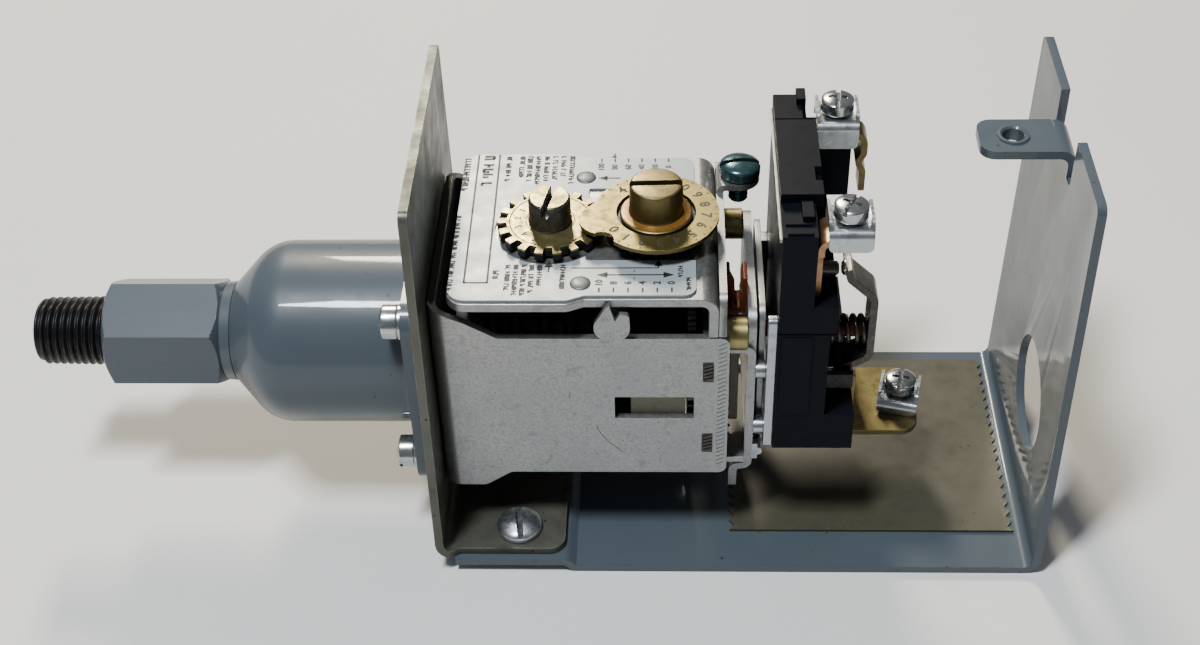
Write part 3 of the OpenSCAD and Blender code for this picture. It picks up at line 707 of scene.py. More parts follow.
def base_sheet():
    middle = END_HI.x - SHEET / 2
    path = [(3.6, 2.4), (24.7, 2.4), (26.3, 0.8), (middle, 0.8), (middle, END_HI.z)]
    sheet = prism(sheet_section(path, SHEET, [0, 1.2, 1.2, 2.6, 0]), "y", -HALF, HALF)
    kept(sheet, prism(end_outline(END_HI.z), "x", -5, END_HI.x + 5))
    hole = MOUNT["conduit_hole"]
    centre = millimetres(hole["pos_m"])
    tab_top = 79.4
    cutters = [rod(hole["dims"]["r_mm"], "x", END_LO.x - 5, END_HI.x + 3, (0, centre.y, centre.z), 96),
               prism(box_outline(-8, 74, 8, 99, 1.2), "x", END_HI.x - 6, END_HI.x + 3)]
    cutters += [rod(2.4, "z", -1, 5, (15.6, s * 23.6, 0)) for s in (-1, 1)]
    cut(sheet, *cutters)
    riser = [(middle, 73.4), (middle, tab_top - SHEET / 2), (END_LO.x, tab_top - SHEET / 2)]
    tab = prism(sheet_section(riser, SHEET, [0, 2.3, 0]), "y", -4.9, 4.9)
    flat = rounded([(END_LO.x, -4.9), (120, -4.9), (120, 4.9), (END_LO.x, 4.9)], [2.6, 0, 0, 2.6])
    kept(tab, prism(flat, "z", 60, 90))
    cut(tab, rod(MOUNT["cover_screw_hole"]["dims"]["r_mm"], "z", 70, 90, (103.7, 0, 0)))
    fused(sheet, tab)
    piece(sheet, "base_sheet", "base_plate", ease=0.22, stands_for=("base_plate", "conduit_end_plate"))
    rim = turned([(2.15, 79.42), (2.9, 79.42), (2.75, 79.75), (2.3, 79.8), (1.95, 79.5), (1.8, 77.2),
                  (2.05, 77.0)],
                 "z", (103.7, 0, 0), 40)
    extra(rim, "cover_hole_rim", "conduit_end_plate", "painted_case")


def bracket_sheet():
    path = [(24.5, 4.05), (0.8, 4.05), (0.8, BRACKET_HI.z)]
    sheet = prism(sheet_section(path, SHEET, [0, 2.7, 0]), "y", -HALF, HALF)
    kept(sheet, prism(end_outline(BRACKET_HI.z), "x", -5, 40))
    foot = HALF - 1.4
    flat = rounded([(-3, -HALF), (2.2, -HALF), (4.5, -foot), (24.5, -foot), (24.5, foot), (4.5, foot),
                    (2.2, HALF),
                    (-3, HALF)], [0, 1.5, 1.5, 3, 3, 1.5, 1.5, 0])
    kept(sheet, prism(flat, "z", -5, 99))
    axis = 34.6
    cut(sheet, rod(5, "x", -3, 5, (0, 0, axis)),
        *[rod(2.4, "z", 0, 9, (15.6, s * 23.6, 0)) for s in (-1, 1)])
    piece(sheet, "bracket_sheet", "end_bracket", ease=0.2)


def bracket_screws():
    screws = []
    for side, spin in ((-1, 97), (1, 20)):
        one = screw(4.35, 2.5, 1.6, 1.2, 1.3, 2.3, 4.0)
        screws.append(turned_to(one, (15.6, side * 23.6, 4.85), "z", spin))
    piece(together(*screws), "bracket_screw_pair", "bracket_screws", "bright_zinc", ease=0.1)


# ---- Pressure element ----

AXIS_Z = 34.6
BELL_R = 17.45
FLANGE = 3.25
NECK_X = span("inlet_fitting")[0].x + 24.5


def oval(centre, radii, start, end, steps):
    """Points on an ellipse between two angles in degrees."""
    turns = [math.radians(start + (end - start) * i / steps) for i in range(steps + 1)]
    return [(centre[0] + radii[0] * math.cos(a), centre[1] + radii[1] * math.sin(a)) for a in turns]


def bell():
    face = -FLANGE
    plate = prism(box_outline(-21, AXIS_Z - 21, 21, AXIS_Z + 21, 4.5), "x", face, -0.05)
    cut(plate, rod(15.95, "x", -9, 3, (0, 0, AXIS_Z), 72))
    outer = [(18.5, face + 0.02), (17.8, face - 0.45), (BELL_R, face - 1.3), (BELL_R, -16), (BELL_R, -27.0)]
    start, pull, end = Vector((BELL_R, -27.0)), Vector((BELL_R, -31.2)), Vector((14.1, -34.0))
    for i in range(1, 13):
        t = i / 12
        outer.append(tuple(start * (1 - t) ** 2 + pull * 2 * t * (1 - t) + end * t ** 2))
    outer += [(10.1, NECK_X + 0.35), (9.75, NECK_X)]
    inner = [(4, NECK_X), (4, -36.6), (9.0, -36.6), (13.7, -33.2), (15.4, -30.6), (15.95, -28.4),
             (15.95, face)]
    shell = turned(outer + inner, "x", (0, 0, AXIS_Z), 128)
    piece(together(plate, shell), "bellows_bell", "bellows_housing", ease=0.3, segments=3, sharp=30)


def housing_screws():
    screws = []
    spins = {(-1, -1): 74, (-1, 1): 118, (1, -1): 20, (1, 1): 150}
    for (a, b), spin in spins.items():
        place = (0, a * 16.3, AXIS_Z + b * 16.3)
        one = screw(3.2, 3.35, 0.75, 1.0, 1.2, 1.65, 4.6)
        screws.append(turned_to(one, (-FLANGE - 0.85, place[1], place[2]), "-x", spin))
        ring = [(1.75, -FLANGE - 0.83), (3.1, -FLANGE - 0.83), (3.35, -FLANGE - 0.6), (3.35, -FLANGE - 0.05),
                (1.75, -FLANGE - 0.05)]
        screws.append(turned(ring, "x", place, 40))
    piece(together(*screws), "flange_screws", "housing_screws", "screw_steel", ease=0.1)


def hexagon(flats, lo, hi, spin, chamfer_r, steps=96):
    """A hexagon bar along X whose ends are turned to a 30 degree chamfer starting at radius chamfer_r."""
    slope = math.tan(math.radians(58))
    zone = (flats / 2 / math.cos(math.radians(30)) - chamfer_r) / slope
    near = [zone * (i / 8) ** 1.4 for i in range(9)]
    heights = [lo + d for d in near] + [hi - d for d in near[::-1]]
    rows = []
    for x in heights:
        limit = chamfer_r + slope * min(x - lo, hi - x)
        row = []
        for k in range(steps):
            a = 360 * k / steps
            flat_r = flats / 2 / math.cos(math.radians((a % 60) - 30))
            r = min(flat_r, limit)
            turn = math.radians(a + spin)
            row.append((x, r * math.cos(turn), AXIS_Z + r * math.sin(turn)))
        rows.append(row)
    return grid_tube(rows, steps)


def inlet_fitting():
    lo = span("inlet_fitting")[0].x
    hi = lo + 22.2
    neck = turned([(3.9, hi - 0.05), (9.1, hi - 0.05), (9.45, hi + 0.25), (9.6, NECK_X - 0.25),
                   (9.3, NECK_X - 0.02),
                   (3.9, NECK_X - 0.02)], "x", (0, 0, AXIS_Z), 96)
    body = hexagon(19.05, lo, hi, 25.7, 9.15)
    cut(body, rod(5.2, "x", lo - 1, lo + 2, (0, 0, AXIS_Z), 64))
    spigot = rod(3.9, "x", NECK_X, NECK_X + 2.4, (0, 0, AXIS_Z))
    piece(together(neck, body, spigot), "hexagon_inlet", "inlet_fitting", ease=0.0, sharp=24)


def axis_ring(x, r, steps):
    """Points of a circle about the bellows axis, at x."""
    turns = [2 * math.pi * k / steps for k in range(steps)]
    return [(x, r * math.cos(a), AXIS_Z + r * math.sin(a)) for a in turns]


def threaded_tube(tip_r, root_r, lo, hi, pitch, depth, bore, steps=56):
    """A tapered pipe thread along X, larger towards hi, with a bore."""
    rows = []
    per_turn = 10
    count = int((hi - lo) / pitch * per_turn)
    for i in range(count + 1):
        x = lo + (hi - lo) * i / count
        crest = tip_r + (root_r - tip_r) * (x - lo) / (hi - lo)
        lead_in = min(1.0, (x - lo + 0.15) / 1.1)
        row = []
        for k in range(steps):
            phase = ((x - lo) / pitch + k / steps) % 1.0
            tooth = min(1.0, max(0.0, 1.25 - abs(phase - 0.5) * 3.1))
            r = crest - depth * (1 - tooth) * lead_in - 0.75 * (1 - lead_in)
            a = 2 * math.pi * k / steps
            row.append((x, r * math.cos(a), AXIS_Z + r * math.sin(a)))
        rows.append(row)
    mouth = [(lo + 6, bore), (lo + 0.5, bore), (lo, bore + 0.4)]
    rows = [axis_ring(x, r, steps) for x, r in mouth] + rows
    return grid_tube(rows, steps)


def pipe_nipple():
    lo, hi = span("pipe_nipple")
    thread = threaded_tube(6.45, 6.7, lo.x, hi.x + 0.6, 1.411, 0.82, 3.4)
    piece(thread, "pipe_thread", "pipe_nipple", ease=0.0, sharp=60)


def bellows():
    lo, hi = span("bellows")
    folds = 9
    pitch = (hi.x - lo.x) / folds
    outer = []
    for i in range(folds * 12 + 1):
        phase = 2 * math.pi * i / 12
        outer.append((12.7 - 1.8 * math.cos(phase), lo.x + i * pitch / 12))
    skin = [(r - 0.35, x) for r, x in outer[::-1]]
    tube = turned(outer + skin, "x", (0, 0, AXIS_Z), 72)
    piece(tube, "brass_bellows", "bellows", ease=0.0, sharp=60,
          bend=("pressure_rod", (hi.x, 0, AXIS_Z), (lo.x, 0, AXIS_Z)))


# ---- Mechanism frame ----

FRAME_HI = span("mechanism_frame")[1]
SIDE = 21.0
WALL = 1.4


def staked_tongue(z, side):
    """The end of a tongue, swaged into the side wall with a ribbed punch."""
    y = side * (SIDE + 0.02)
    outline = moved(box_outline(-0.95, -2.25, 0.95, 2.25, 0.8), 51.3, z)
    pad = prism(outline, "y", min(y, y + side * 0.12), max(y, y + side * 0.12))
    ribs = []
    for i in range(5):
        rise = -1.7 + 0.85 * i
        slant = [(50.45, z + rise - 0.35), (52.15, z + rise + 0.25), (52.15, z + rise + 0.6),
                 (50.45, z + rise)]
        ribs.append(prism(slant, "y", min(y, y + side * 0.3), max(y, y + side * 0.3)))
    return together(pad, *ribs)


def frame_sheet():
    x0 = 1.75 + WALL / 2
    y = SIDE - WALL / 2
    plan = sheet_section([(FRAME_HI.x, -y), (x0, -y), (x0, y), (FRAME_HI.x, y)], WALL, [0, 2.4, 2.4, 0])
    sheet = prism(plan, "z", 13, 60)
    side_view = rounded([(-1, 14), (9.7, 14), (14.6, 17.5), (55, 17.5), (55, 51), (13.9, 51), (8.5, 54.4),
                         (1.9, 57.6), (-1, 57.6)], [0, 2, 2, 1.6, 1.6, 3, 3, 2, 0])
    kept(sheet, prism(side_view, "y", -30, 30))
    cutters = [prism(box_outline(34.4, 31.6, 48.8, 36.9, 0.3), "y", -30, 30),
               rod(5, "x", 0, 5, (0, 0, AXIS_Z))]
    cutters += [prism(box_outline(50.3, z - 2.4, 52.3, z + 2.4, 0.2), "y", -30, 30) for z in (25.3, 43)]
    cut(sheet, *cutters)
    piece(sheet, "frame_sheet", "mechanism_frame", ease=0.14)
    marks = []
    for i in range(30):
        z = 19.6 + i * 1.02
        slant = [(53.0, z), (54.5, z + 0.75), (54.5, z + 0.92), (53.0, z + 0.17)]
        marks.append(prism(slant, "y", -SIDE - 0.035, -SIDE + 0.02))
    extra(together(*marks), "frame_tool_marks", "mechanism_frame", "rivet_steel")
    # Painted shade: a dark olive strip on the left wall's top edge stands in for the shade there and the
    # dark reflection of the bracket.
    band = block((1.78, -18.4, 57.5), (3.12, 18.4, 57.68))
    extra(band, "frame_edge_shade_strip", "mechanism_frame", "dark_olive", ease=0.05)
    # Painted shade: a black sheet across the frame's open bottom, so the view between the parts reads dark
    # like the shade inside the frame.
    shade_plate = block((3.2, -19.58, 17.6), (46.4, 19.58, 18.3))
    extra(shade_plate, "frame_shade_plate", "mechanism_frame", "black_steel", ease=0.05)
    strip = block((37.3, -19.58, 31.0), (47.2, -19.12, 40.5))
    extra(strip, "window_strip", "mechanism_frame", "drab", ease=0.05)
    sweep = [(31.0 + 4.6 * (i / 12) ** 1.6, -SIDE - 0.005, 29.8 - 6.8 * i / 12) for i in range(13)]
    nick = [(26.2, -SIDE - 0.005, 36.6), (26.4, -SIDE - 0.005, 38.2)]
    extra(together(wire_tube(sweep, 0.055), wire_tube(nick, 0.06)), "frame_scratches", "mechanism_frame",
          "engraving")


def frame_end_plate():
    plate = block((50.3, -19.5, 17.5), (52.3, 19.5, 51))
    cut(plate, rod(3.06, "x", 45, 55, (0, 0, AXIS_Z)))
    tongues = []
    for z in (25.3, 43):
        for side in (-1, 1):
            tongues.append(block((50.36, min(side * 19.3, side * 21.02), z - 2.3),
                                 (52.24, max(side * 19.3, side * 21.02), z + 2.3)))
    fused(plate, *tongues)
    piece(plate, "end_plate_sheet", "frame_end_plate", "olive_zinc", ease=0.1)
    stakes = [staked_tongue(z, side) for z in (25.3, 43) for side in (-1, 1)]
    extra(together(*stakes), "staked_tongues", "frame_end_plate", "spring_steel")


TOP_Z = span("scale_plate")[0].z
LABEL_Z = span("scale_plate")[1].z
DIAL_Y = -1.6
DIFF_X = 22.9
RANGE_X = 42.0


def plan_outline(grow, left, right):
    """The top plate's plan: a wide left half and a narrower right half, grown by a margin."""
    wide = 22.3 - grow
    narrow = 21.0 - grow
    return [(left, -wide), (26.6, -wide), (29.6, -narrow), (right, -narrow), (right, narrow), (29.6, narrow),
            (26.6, wide), (left, wide)]


def top_plate():
    path = [(5.4, 59.1), (52.1, 59.1), (52.1, 51.15)]
    sheet = prism(sheet_section(path, 1.8, [0, 2.2, 0]), "y", -23, 23)
    outline = rounded(plan_outline(0, 5.4, 60), [3.4, 1.8, 1.2, 0, 0, 1.2, 1.8, 3.4])
    kept(sheet, prism(outline, "z", 40, 70))
    cut(sheet, *[rod(4, "z", 55, 65, (x, DIAL_Y, 0)) for x in (DIFF_X, RANGE_X)])
    piece(sheet, "top_sheet", "top_plate", ease=0.3, segments=3)


STRAP = 1.3
EAR_RISE = 1.85


def ground_strap():
    lo, hi = span("ground_strap")
    x0 = lo.x
    x1 = x0 + STRAP
    top = hi.z - EAR_RISE
    ear_mid = hi.z - STRAP / 2
    ear_x, ear_y = 57.4, 13.2
    neck_x = x0 + STRAP / 2
    neck = sheet_section([(neck_x, top - 3), (neck_x, ear_mid), (ear_x, ear_mid)], STRAP, [0, 1.0, 0])
    leaf = prism(neck, "y", 9.5, 16.9)
    head = rod(3.7, "z", hi.z - STRAP, hi.z, (ear_x, ear_y, 0), 56)
    wall = prism(rounded([(-20.95, 51.15), (20.95, 51.15), (20.95, top), (-20.95, top)],
                         [0.4, 0.4, 2.2, 2.2]),
                 "x", x0, x1)
    lower = prism(box_outline(-12.8, lo.z, 12.8, 51.6, 0.4), "x", x0 + 0.01, x1 - 0.01)
    fused(wall, lower, head, leaf)
    cut(wall, rod(1.9, "z", 50, 70, (ear_x, ear_y, 0)))
    piece(wall, "ground_strap_sheet", "ground_strap", ease=0.2)


def rack_guides():
    hooks = []
    for x in (12, 19.8):
        section = sheet_section([(7.35, 58.1), (7.35, 50.55), (4.1, 50.55)], 0.7, [0, 0.8, 0])
        hooks.append(prism(section, "x", x, x + 2))
    piece(together(*hooks), "rack_hooks", "rack_guides", ease=0.1)


def scale_plate():
    z0 = TOP_Z
    outline = rounded(plan_outline(0.75, 5.6, 49.0), [3.2, 1.8, 1.2, 2.2, 2.2, 1.2, 1.8, 3.2])
    plate = prism(outline, "z", z0, LABEL_Z)
    cutters = [rod(10.2, "z", 55, 65, (DIFF_X, DIAL_Y, 0), 96),
               prism(box_outline(29.5, -10.6, 60, 10.6, 0.5), "z", 55, 65)]
    cutters += [rod(1.1, "z", 50, 70, (28.8, y, 0)) for y in (14, -17)]
    cut(plate, *cutters)
    piece(plate, "scale_face", "scale_plate", ease=0.07)


def bar(x0, y0, x1, y1, wide):
    """A printed stroke between two points on the scale plate."""
    a = Vector((x0, y0))
    b = Vector((x1, y1))
    across = Vector((-(b - a).y, (b - a).x)).normalized() * wide / 2
    ends = [a + across, a - across, b - across, b + across]
    return prism([tuple(p) for p in ends], "z", LABEL_Z + 0.005, LABEL_Z + 0.045)


def arrow_head(x, y, toward, size):
    """A printed triangle whose tip is at x, y; toward is the direction it points, in degrees."""
    shape = [(0, 0), (-size, size * 0.42), (-size, -size * 0.42)]
    a = math.radians(toward)
    points = [(x + p * math.cos(a) - q * math.sin(a), y + p * math.sin(a) + q * math.cos(a))
              for p, q in shape]
    return prism(points, "z", LABEL_Z + 0.005, LABEL_Z + 0.045)


def scale_print():
    marks = []
    marks += [bar(8.1, 21.4, 8.4, -16.9, 0.36), bar(12.1, 21.4, 12.5, -16.9, 0.36),
              bar(8.3, -16.8, 12.6, -16.8, 0.36)]
    for i in range(6):
        x = 32.1 + 2.53 * i
        marks.append(bar(x, -19.4, x, -18.2, 0.32))
        marks.append(bar(x - 0.5, 20.0, x - 0.5, 18.9, 0.32))
        marks.append(numeral(str(10 - 2 * i), 1.8, (x, -16.9, LABEL_Z + 0.025), 90, 0.04))
        marks.append(numeral(str(100 - 20 * i), 1.6, (x - 0.5, 17.3, LABEL_Z + 0.025), 90, 0.04))
    marks += [bar(33, -14.7, 43.8, -14.7, 0.28), arrow_head(31.6, -14.7, 180, 1.9),
              arrow_head(45.2, -14.7, 0, 1.9)]
    marks += [bar(27.0, -12.8, 42.4, -12.8, 0.26), bar(42.4, -12.8, 42.4, -11.5, 0.3)]
    marks += [arrow_head(42.4, -10.6, 90, 1.7), bar(23.1, -13.9, 23.1, -12.2, 0.3),
              arrow_head(23.1, -10.7, 90, 1.9)]
    marks += [bar(32.2, 13.8, 35.2, 13.8, 0.3), arrow_head(31.0, 13.8, 180, 1.8)]
    marks += [bar(38.2, -13.4, 38.2, -13.9, 0.16), bar(38.2, -15.4, 38.2, -15.9, 0.16)]
    draw = random.Random(5)
    columns = [(10.2, 20.8, 11.6, 2.0), (6.2, 20.0, 10.2, 1.15), (6.0, 2.2, -18.6, 0.8),
               (14.0, 20.6, 13.4, 1.0)]
    columns += [(x, 20.7, 20.7 - w, 0.95) for x, w in
                ((16.5, 6.6), (18.0, 8.2), (19.6, 8.6), (21.2, 7.6), (22.8, 7.0), (24.4, 6.6), (26.0, 9.0))]
    columns += [(x, -12.0, -12.0 - w, 0.9) for x, w in
                ((15.9, 7.0), (17.3, 8.4), (18.7, 8.0), (20.1, 7.6), (21.5, 5.6), (25.6, 6.4))]
    columns += [(13.8, -13.6, -15.4, 1.0), (46.3, -12.4, -15.2, 0.8), (47.7, -15.6, -18.6, 0.8)]
    for x, start, end, size in columns:
        y = start
        while y > end:
            marks += [bar(*stroke) for stroke in glyph(x, y, size, draw)]
            y -= size * draw.choice((0.72, 0.72, 0.76, 0.8, 1.35))
    extra(together(*marks), "scale_print", "scale_plate", "black_print", sharp=80)


def glyph(x, y, size, draw):
    """An unreadable mark the size of a letter, for a column of small print that runs along -Y."""
    wide = size * 0.30
    tall = size * 0.5
    step = size * 0.42
    reach = tall * draw.choice((0.2, 1.0))
    at = x + draw.choice((-tall, 0, tall)) * 0.86
    near = (x - tall, y, x + tall, y, wide)
    far = (x - tall, y - step, x + reach, y - step, wide)
    joint = (at, y, at, y - step, wide)
    return draw.choice(([near, far], [near, joint], [near, far, joint], [near, joint]))


def rivets():
    heads = []
    for y in (14, -17):
        profile = [(0, 57.8), (1, 57.8), (1, LABEL_Z + 0.03), (1.85, LABEL_Z + 0.03)]
        profile += oval((0, LABEL_Z + 0.06), (1.85, 0.36), 0, 90, 8)[:-1]
        heads.append(turned(profile + [(0, LABEL_Z + 0.42)], "z", (28.8, y, 0), 40))
    piece(together(*heads), "rivet_pair", "scale_rivets", ease=0.0)


# ---- Range adjustment ----

def range_parts():
    lo, hi = span("range_spring")
    spring = coil(12.7, 2.8, 4, lo.x + 1.1, hi.x, 0, AXIS_Z, 36, 14)
    piece(spring, "range_coil", "range_spring", "black_steel", ease=0.0, sharp=60,
          bend=("range_nut", (lo.x + 2, 0, AXIS_Z), (hi.x - 1, 0, AXIS_Z)))
    # Painted shade: a black tube inside the range spring, so the gaps between the coils read dark like the
    # shade inside the spring.
    guide = turned([(8.4, 9), (9.5, 9), (9.5, 31), (8.4, 31)], "x", (0, 0, AXIS_Z), 56)
    extra(guide, "spring_shade_tube", "mechanism_frame", "black_steel", sharp=30)
    lo, hi = span("range_sleeve")
    profile = [(5, lo.x), (10.0, lo.x)]
    pitch = 0.9
    for i in range(int((47.4 - lo.x) / pitch)):
        x = lo.x + i * pitch
        profile += [(10.05, x + 0.05), (10.6, x + pitch * 0.5)]
    profile += [(10.1, 47.5), (5, 47.5)]
    collar = turned([(5, 49.22), (7, 49.22), (7, hi.x), (5, hi.x)], "x", (0, 0, AXIS_Z), 64)
    sleeve = turned(profile, "x", (0, 0, AXIS_Z), 72)
    piece(together(sleeve, collar), "threaded_sleeve", "range_sleeve", ease=0.0, sharp=30)
    lo, hi = span("range_wheel")
    wheel = prism(moved(toothed(18.0, 19.0, 60), 0, AXIS_Z), "x", lo.x, hi.x)
    cut(wheel, rod(5, "x", 40, 60, (0, 0, AXIS_Z)))
    piece(wheel, "edge_wheel", "range_wheel", "spring_steel", ease=0.1)
    lo, hi = span("range_nut")
    nut = turned([(10.66, lo.x), (13.9, lo.x), (14.4, lo.x + 0.5), (14.4, 33.4), (13.8, 33.9), (13.8, 34.6),
                  (14.4, 35.1), (14.4, hi.x - 0.5), (13.9, hi.x), (10.66, hi.x)], "x", (0, 0, AXIS_Z), 96)
    piece(nut, "spring_nut", "range_nut", "black_steel", ease=0.0, sharp=30)


def disc_pointer(x, z, y0, y1, tip):
    """A round indicator disc with a pointed horn and a narrow notch beside it."""
    rim = arc((0, 0), 3.2, 158, 357, 28)
    horn = [(3.1, 2.5), (2.8, 2.95), (1.35, 3.1), (0.55, 1.6), (-0.4, tip - z), (-1.4, 4.0)]
    return prism(moved(rim + horn, x, z), "y", y0, y1)


def range_pointer():
    y = -SIDE - 1.5
    disc = disc_pointer(34.3, 54.7, y, y + 1.1, 60.1)
    arm = prism(sheet_section([(-21.2, 52.4), (-9.7, 52.4), (-9.7, AXIS_Z + 10.6)], 1.4, [0, 1.5, 0]), "x",
                32.3, 36.3)
    piece(together(disc, arm), "range_indicator", "range_pointer", ease=0.12)


def slotted_post(radius, lo, hi, slot_w, slot_d, spin, at, foot=()):
    """A round slotted adjusting post about +Z; foot lists extra profile points below the head."""
    profile = [(0, lo)] + list(foot) + [(radius, hi - 0.55), (radius - 0.18, hi - 0.2),
                                        (radius - 0.55, hi), (0, hi)]
    post = turned(profile, "z", (0, 0, 0), 72)
    slot = block((-12, -slot_w / 2, hi - slot_d), (12, slot_w / 2, hi + 3))
    slot.data.transform(Matrix.Rotation(math.radians(spin), 4, "Z"))
    cut(post, slot)
    post.data.transform(Matrix.Translation(at))
    return post


def range_dial():
    at = (RANGE_X, DIAL_Y, 0)
    lo, hi = span("range_post")
    foot = [(2.44, lo.z), (2.44, 62.4), (4.7, 62.4), (4.7, 63.5), (6.3, 63.5), (6.5, 63.7), (6.5, 64.3),
            (6.2, 64.5), (5.1, 64.55), (4.8, 65.0)]
    post = slotted_post(4.8, lo.z, hi.z, 1.4, 2.3, 2, at, foot)
    piece(post, "range_post_turned", "range_post", "olive_brass", ease=0.08)
    lo, hi = span("range_gear")
    gear = prism(moved(toothed(7.9, 9.0, 24), *at[:2]), "z", lo.z, lo.z + 1.6)
    cut(gear, rod(2.5, "z", 50, 70, at))
    washer = turned([(4.85, lo.z + 1.62), (7.0, lo.z + 1.62), (7.1, lo.z + 1.8), (7.1, hi.z),
                     (4.85, hi.z)], "z", at, 64)
    piece(together(gear, washer), "range_gear_wheel", "range_gear", ease=0.08)
    lo, hi = span("range_dial")
    disc = prism(arc(at, 11.3, 0, 357, 119), "z", lo.z, lo.z + 0.8)
    lobe = prism(arc((at[0] - 9.3, at[1] - 2), 4.5, 0, 352, 44), "z", lo.z, lo.z + 0.8)
    web = prism([(at[0] - 12.6, at[1] + 1.1), (at[0] - 3.5, at[1] + 10.7), (at[0], at[1]),
                 (at[0] + 3, at[1] - 8),
                 (at[0] - 9.3, at[1] - 6.4)], "z", lo.z, lo.z + 0.8)
    fused(disc, lobe, web)
    cut(disc, rod(7.15, "z", 50, 70, at, 72), rod(2.2, "z", 50, 70, (at[0] - 9.6, at[1] - 8, 0), 40))
    piece(disc, "range_dial_disc", "range_dial", "dial_brass", ease=0.1)
    marks = []
    for i in range(28):
        a = math.radians(-150 + i * 11.25)
        ends = [(at[0] + r * math.cos(a), at[1] + r * math.sin(a)) for r in (10.5, 11.0)]
        marks.append(stroke(ends[0], ends[1], 0.2, lo.z + 0.8))
    for i in range(15):
        angle = -146 + i * 20
        a = math.radians(angle)
        place = (at[0] + 8.9 * math.cos(a), at[1] + 8.9 * math.sin(a), lo.z + 0.815)
        marks.append(numeral(str(i % 10), 2.7, place, angle - 90, 0.03))
    extra(together(*marks), "range_dial_marks", "range_dial", "engraving", sharp=80)
    stain = turned([(4.82, 64.56), (5.9, 64.5), (6.2, 64.53), (5.5, 64.62), (4.82, 64.8)], "z", at, 64)
    extra(stain, "range_post_stain", "range_post", "stain", sharp=80)


def stroke(start, end, wide, z):
    """A fine engraved line on a horizontal face."""
    a = Vector(start)
    b = Vector(end)
    across = Vector((-(b - a).y, (b - a).x)).normalized() * wide / 2
    return prism([tuple(p) for p in (a + across, a - across, b - across, b + across)], "z", z, z + 0.03)


def pinion(node, name, at, outer, teeth):
    lo, hi = span(node)
    gear = prism(moved(toothed(outer - 1.0, outer, teeth, 0.5, 0.6), *at), "z", lo.z, hi.z)
    cut(gear, rod(2.5, "z", 40, 70, (at[0], at[1], 0)))
    piece(gear, name, node, "spring_steel", ease=0.08)


def differential_dial():
    at = (DIFF_X, DIAL_Y, 0)
    lo, hi = span("differential_post")
    foot = [(2.44, lo.z), (2.44, 62.4), (3.8, 62.4), (3.95, 62.6), (3.95, 63.0), (3.8, 63.3)]
    post = slotted_post(3.8, lo.z, hi.z, 1.2, 2.2, 78, at, foot)
    piece(post, "differential_post_turned", "differential_post", "spring_steel", ease=0.08)
    cap = turned([(0, hi.z + 0.01), (3.4, hi.z + 0.01), (3.4, hi.z + 0.03), (0, hi.z + 0.03)], "z",
                 (0, 0, 0), 48)
    slot = block((-12, -0.62, hi.z - 1), (12, 0.62, hi.z + 1))
    slot.data.transform(Matrix.Rotation(math.radians(78), 4, "Z"))
    cut(cap, slot)
    cap.data.transform(Matrix.Translation(at))
    extra(cap, "differential_post_face", "differential_post", "pale_brass")
    lo, hi = span("differential_star")
    under = prism(moved(toothed(8.2, 9.6, 18, 0.52, 0.9), *at[:2]), "z", lo.z, hi.z - 0.45)
    cut(under, rod(2.5, "z", 50, 70, at))
    piece(under, "differential_star_body", "differential_star", "black_steel", ease=0.07)
    face = prism(moved(toothed(7.9, 9.6, 18, 0.52, 0.9), *at[:2]), "z", hi.z - 0.44, hi.z)
    cut(face, rod(3.0, "z", 50, 70, at))
    extra(face, "differential_star_face", "differential_star", "pale_brass", ease=0.06)
    marks = []
    ring = turned([(7.25, hi.z + 0.002), (7.45, hi.z + 0.002), (7.45, hi.z + 0.03), (7.25, hi.z + 0.03)],
                  "z", at, 96)
    collar = turned([(4.3, hi.z + 0.002), (4.45, hi.z + 0.002), (4.45, hi.z + 0.03), (4.3, hi.z + 0.03)],
                    "z", at, 64)
    for i in range(6):
        angle = 150 + i * 24
        a = math.radians(angle)
        marks.append(numeral(str(i + 1), 1.7,
                             (at[0] + 5.9 * math.cos(a), at[1] + 5.9 * math.sin(a), hi.z + 0.015),
                             angle - 90, 0.03))
    extra(together(ring, collar, *marks), "differential_star_marks", "differential_star", "engraving",
          sharp=80)


def differential_slide():
    y = 2.5
    rack = block((9, y + 1, 51), (27, y + 4, 55))
    teeth = [prism([(9.5 + i * 2.4, y + 1.05), (9.8 + i * 2.4, y), (10.6 + i * 2.4, y),
                    (10.9 + i * 2.4, y + 1.05)],
                   "z", 51, 55) for i in range(7)]
    fused(rack, *teeth)
    arm = prism(rounded([(24, y + 3), (27, y + 3), (27, y + 7.9), (36, y + 7.9), (36, SIDE + 0.4),
                         (33, SIDE + 0.4),
                         (33, y + 10.9), (24, y + 10.9)], [0, 0, 1, 1, 0.5, 0.5, 1, 1]), "z", 52.4, 54.0)
    hook = block((34.6, 12.4, 50.6), (36, 18.8, 52.5))
    piece(together(rack, arm, hook), "differential_rack_bar", "differential_rack", ease=0.1)
    disc = disc_pointer(34.5, 54.7, SIDE + 0.42, SIDE + 1.52, 60.1)
    piece(disc, "differential_indicator", "differential_pointer", ease=0.12)
    lo, hi = span("differential_spring")
    spring = coil(2.2, 0.8, 8, lo.x, hi.x, 15.8, (lo.z + hi.z) / 2, 20, 8)
    piece(spring, "differential_coil", "differential_spring", ease=0.0, sharp=60,
          bend=("differential_slide", (hi.x - 0.6, 15.8, 53.7), (lo.x + 0.6, 15.8, 53.7)))


# ---- Right-hand end of the mechanism ----

def ground_screw():
    one = screw(3.8, 2.9, 1.15, 1.15, 1.7, 1.85, 5.6, side=0.95)
    hi = span("ground_screw")[1]
    turned_to(one, (57.4, 13.2, hi.z - 3.3), "z", 8, (-2, 2, 0))
    piece(one, "ground_screw_green", "ground_screw", ease=0.12)


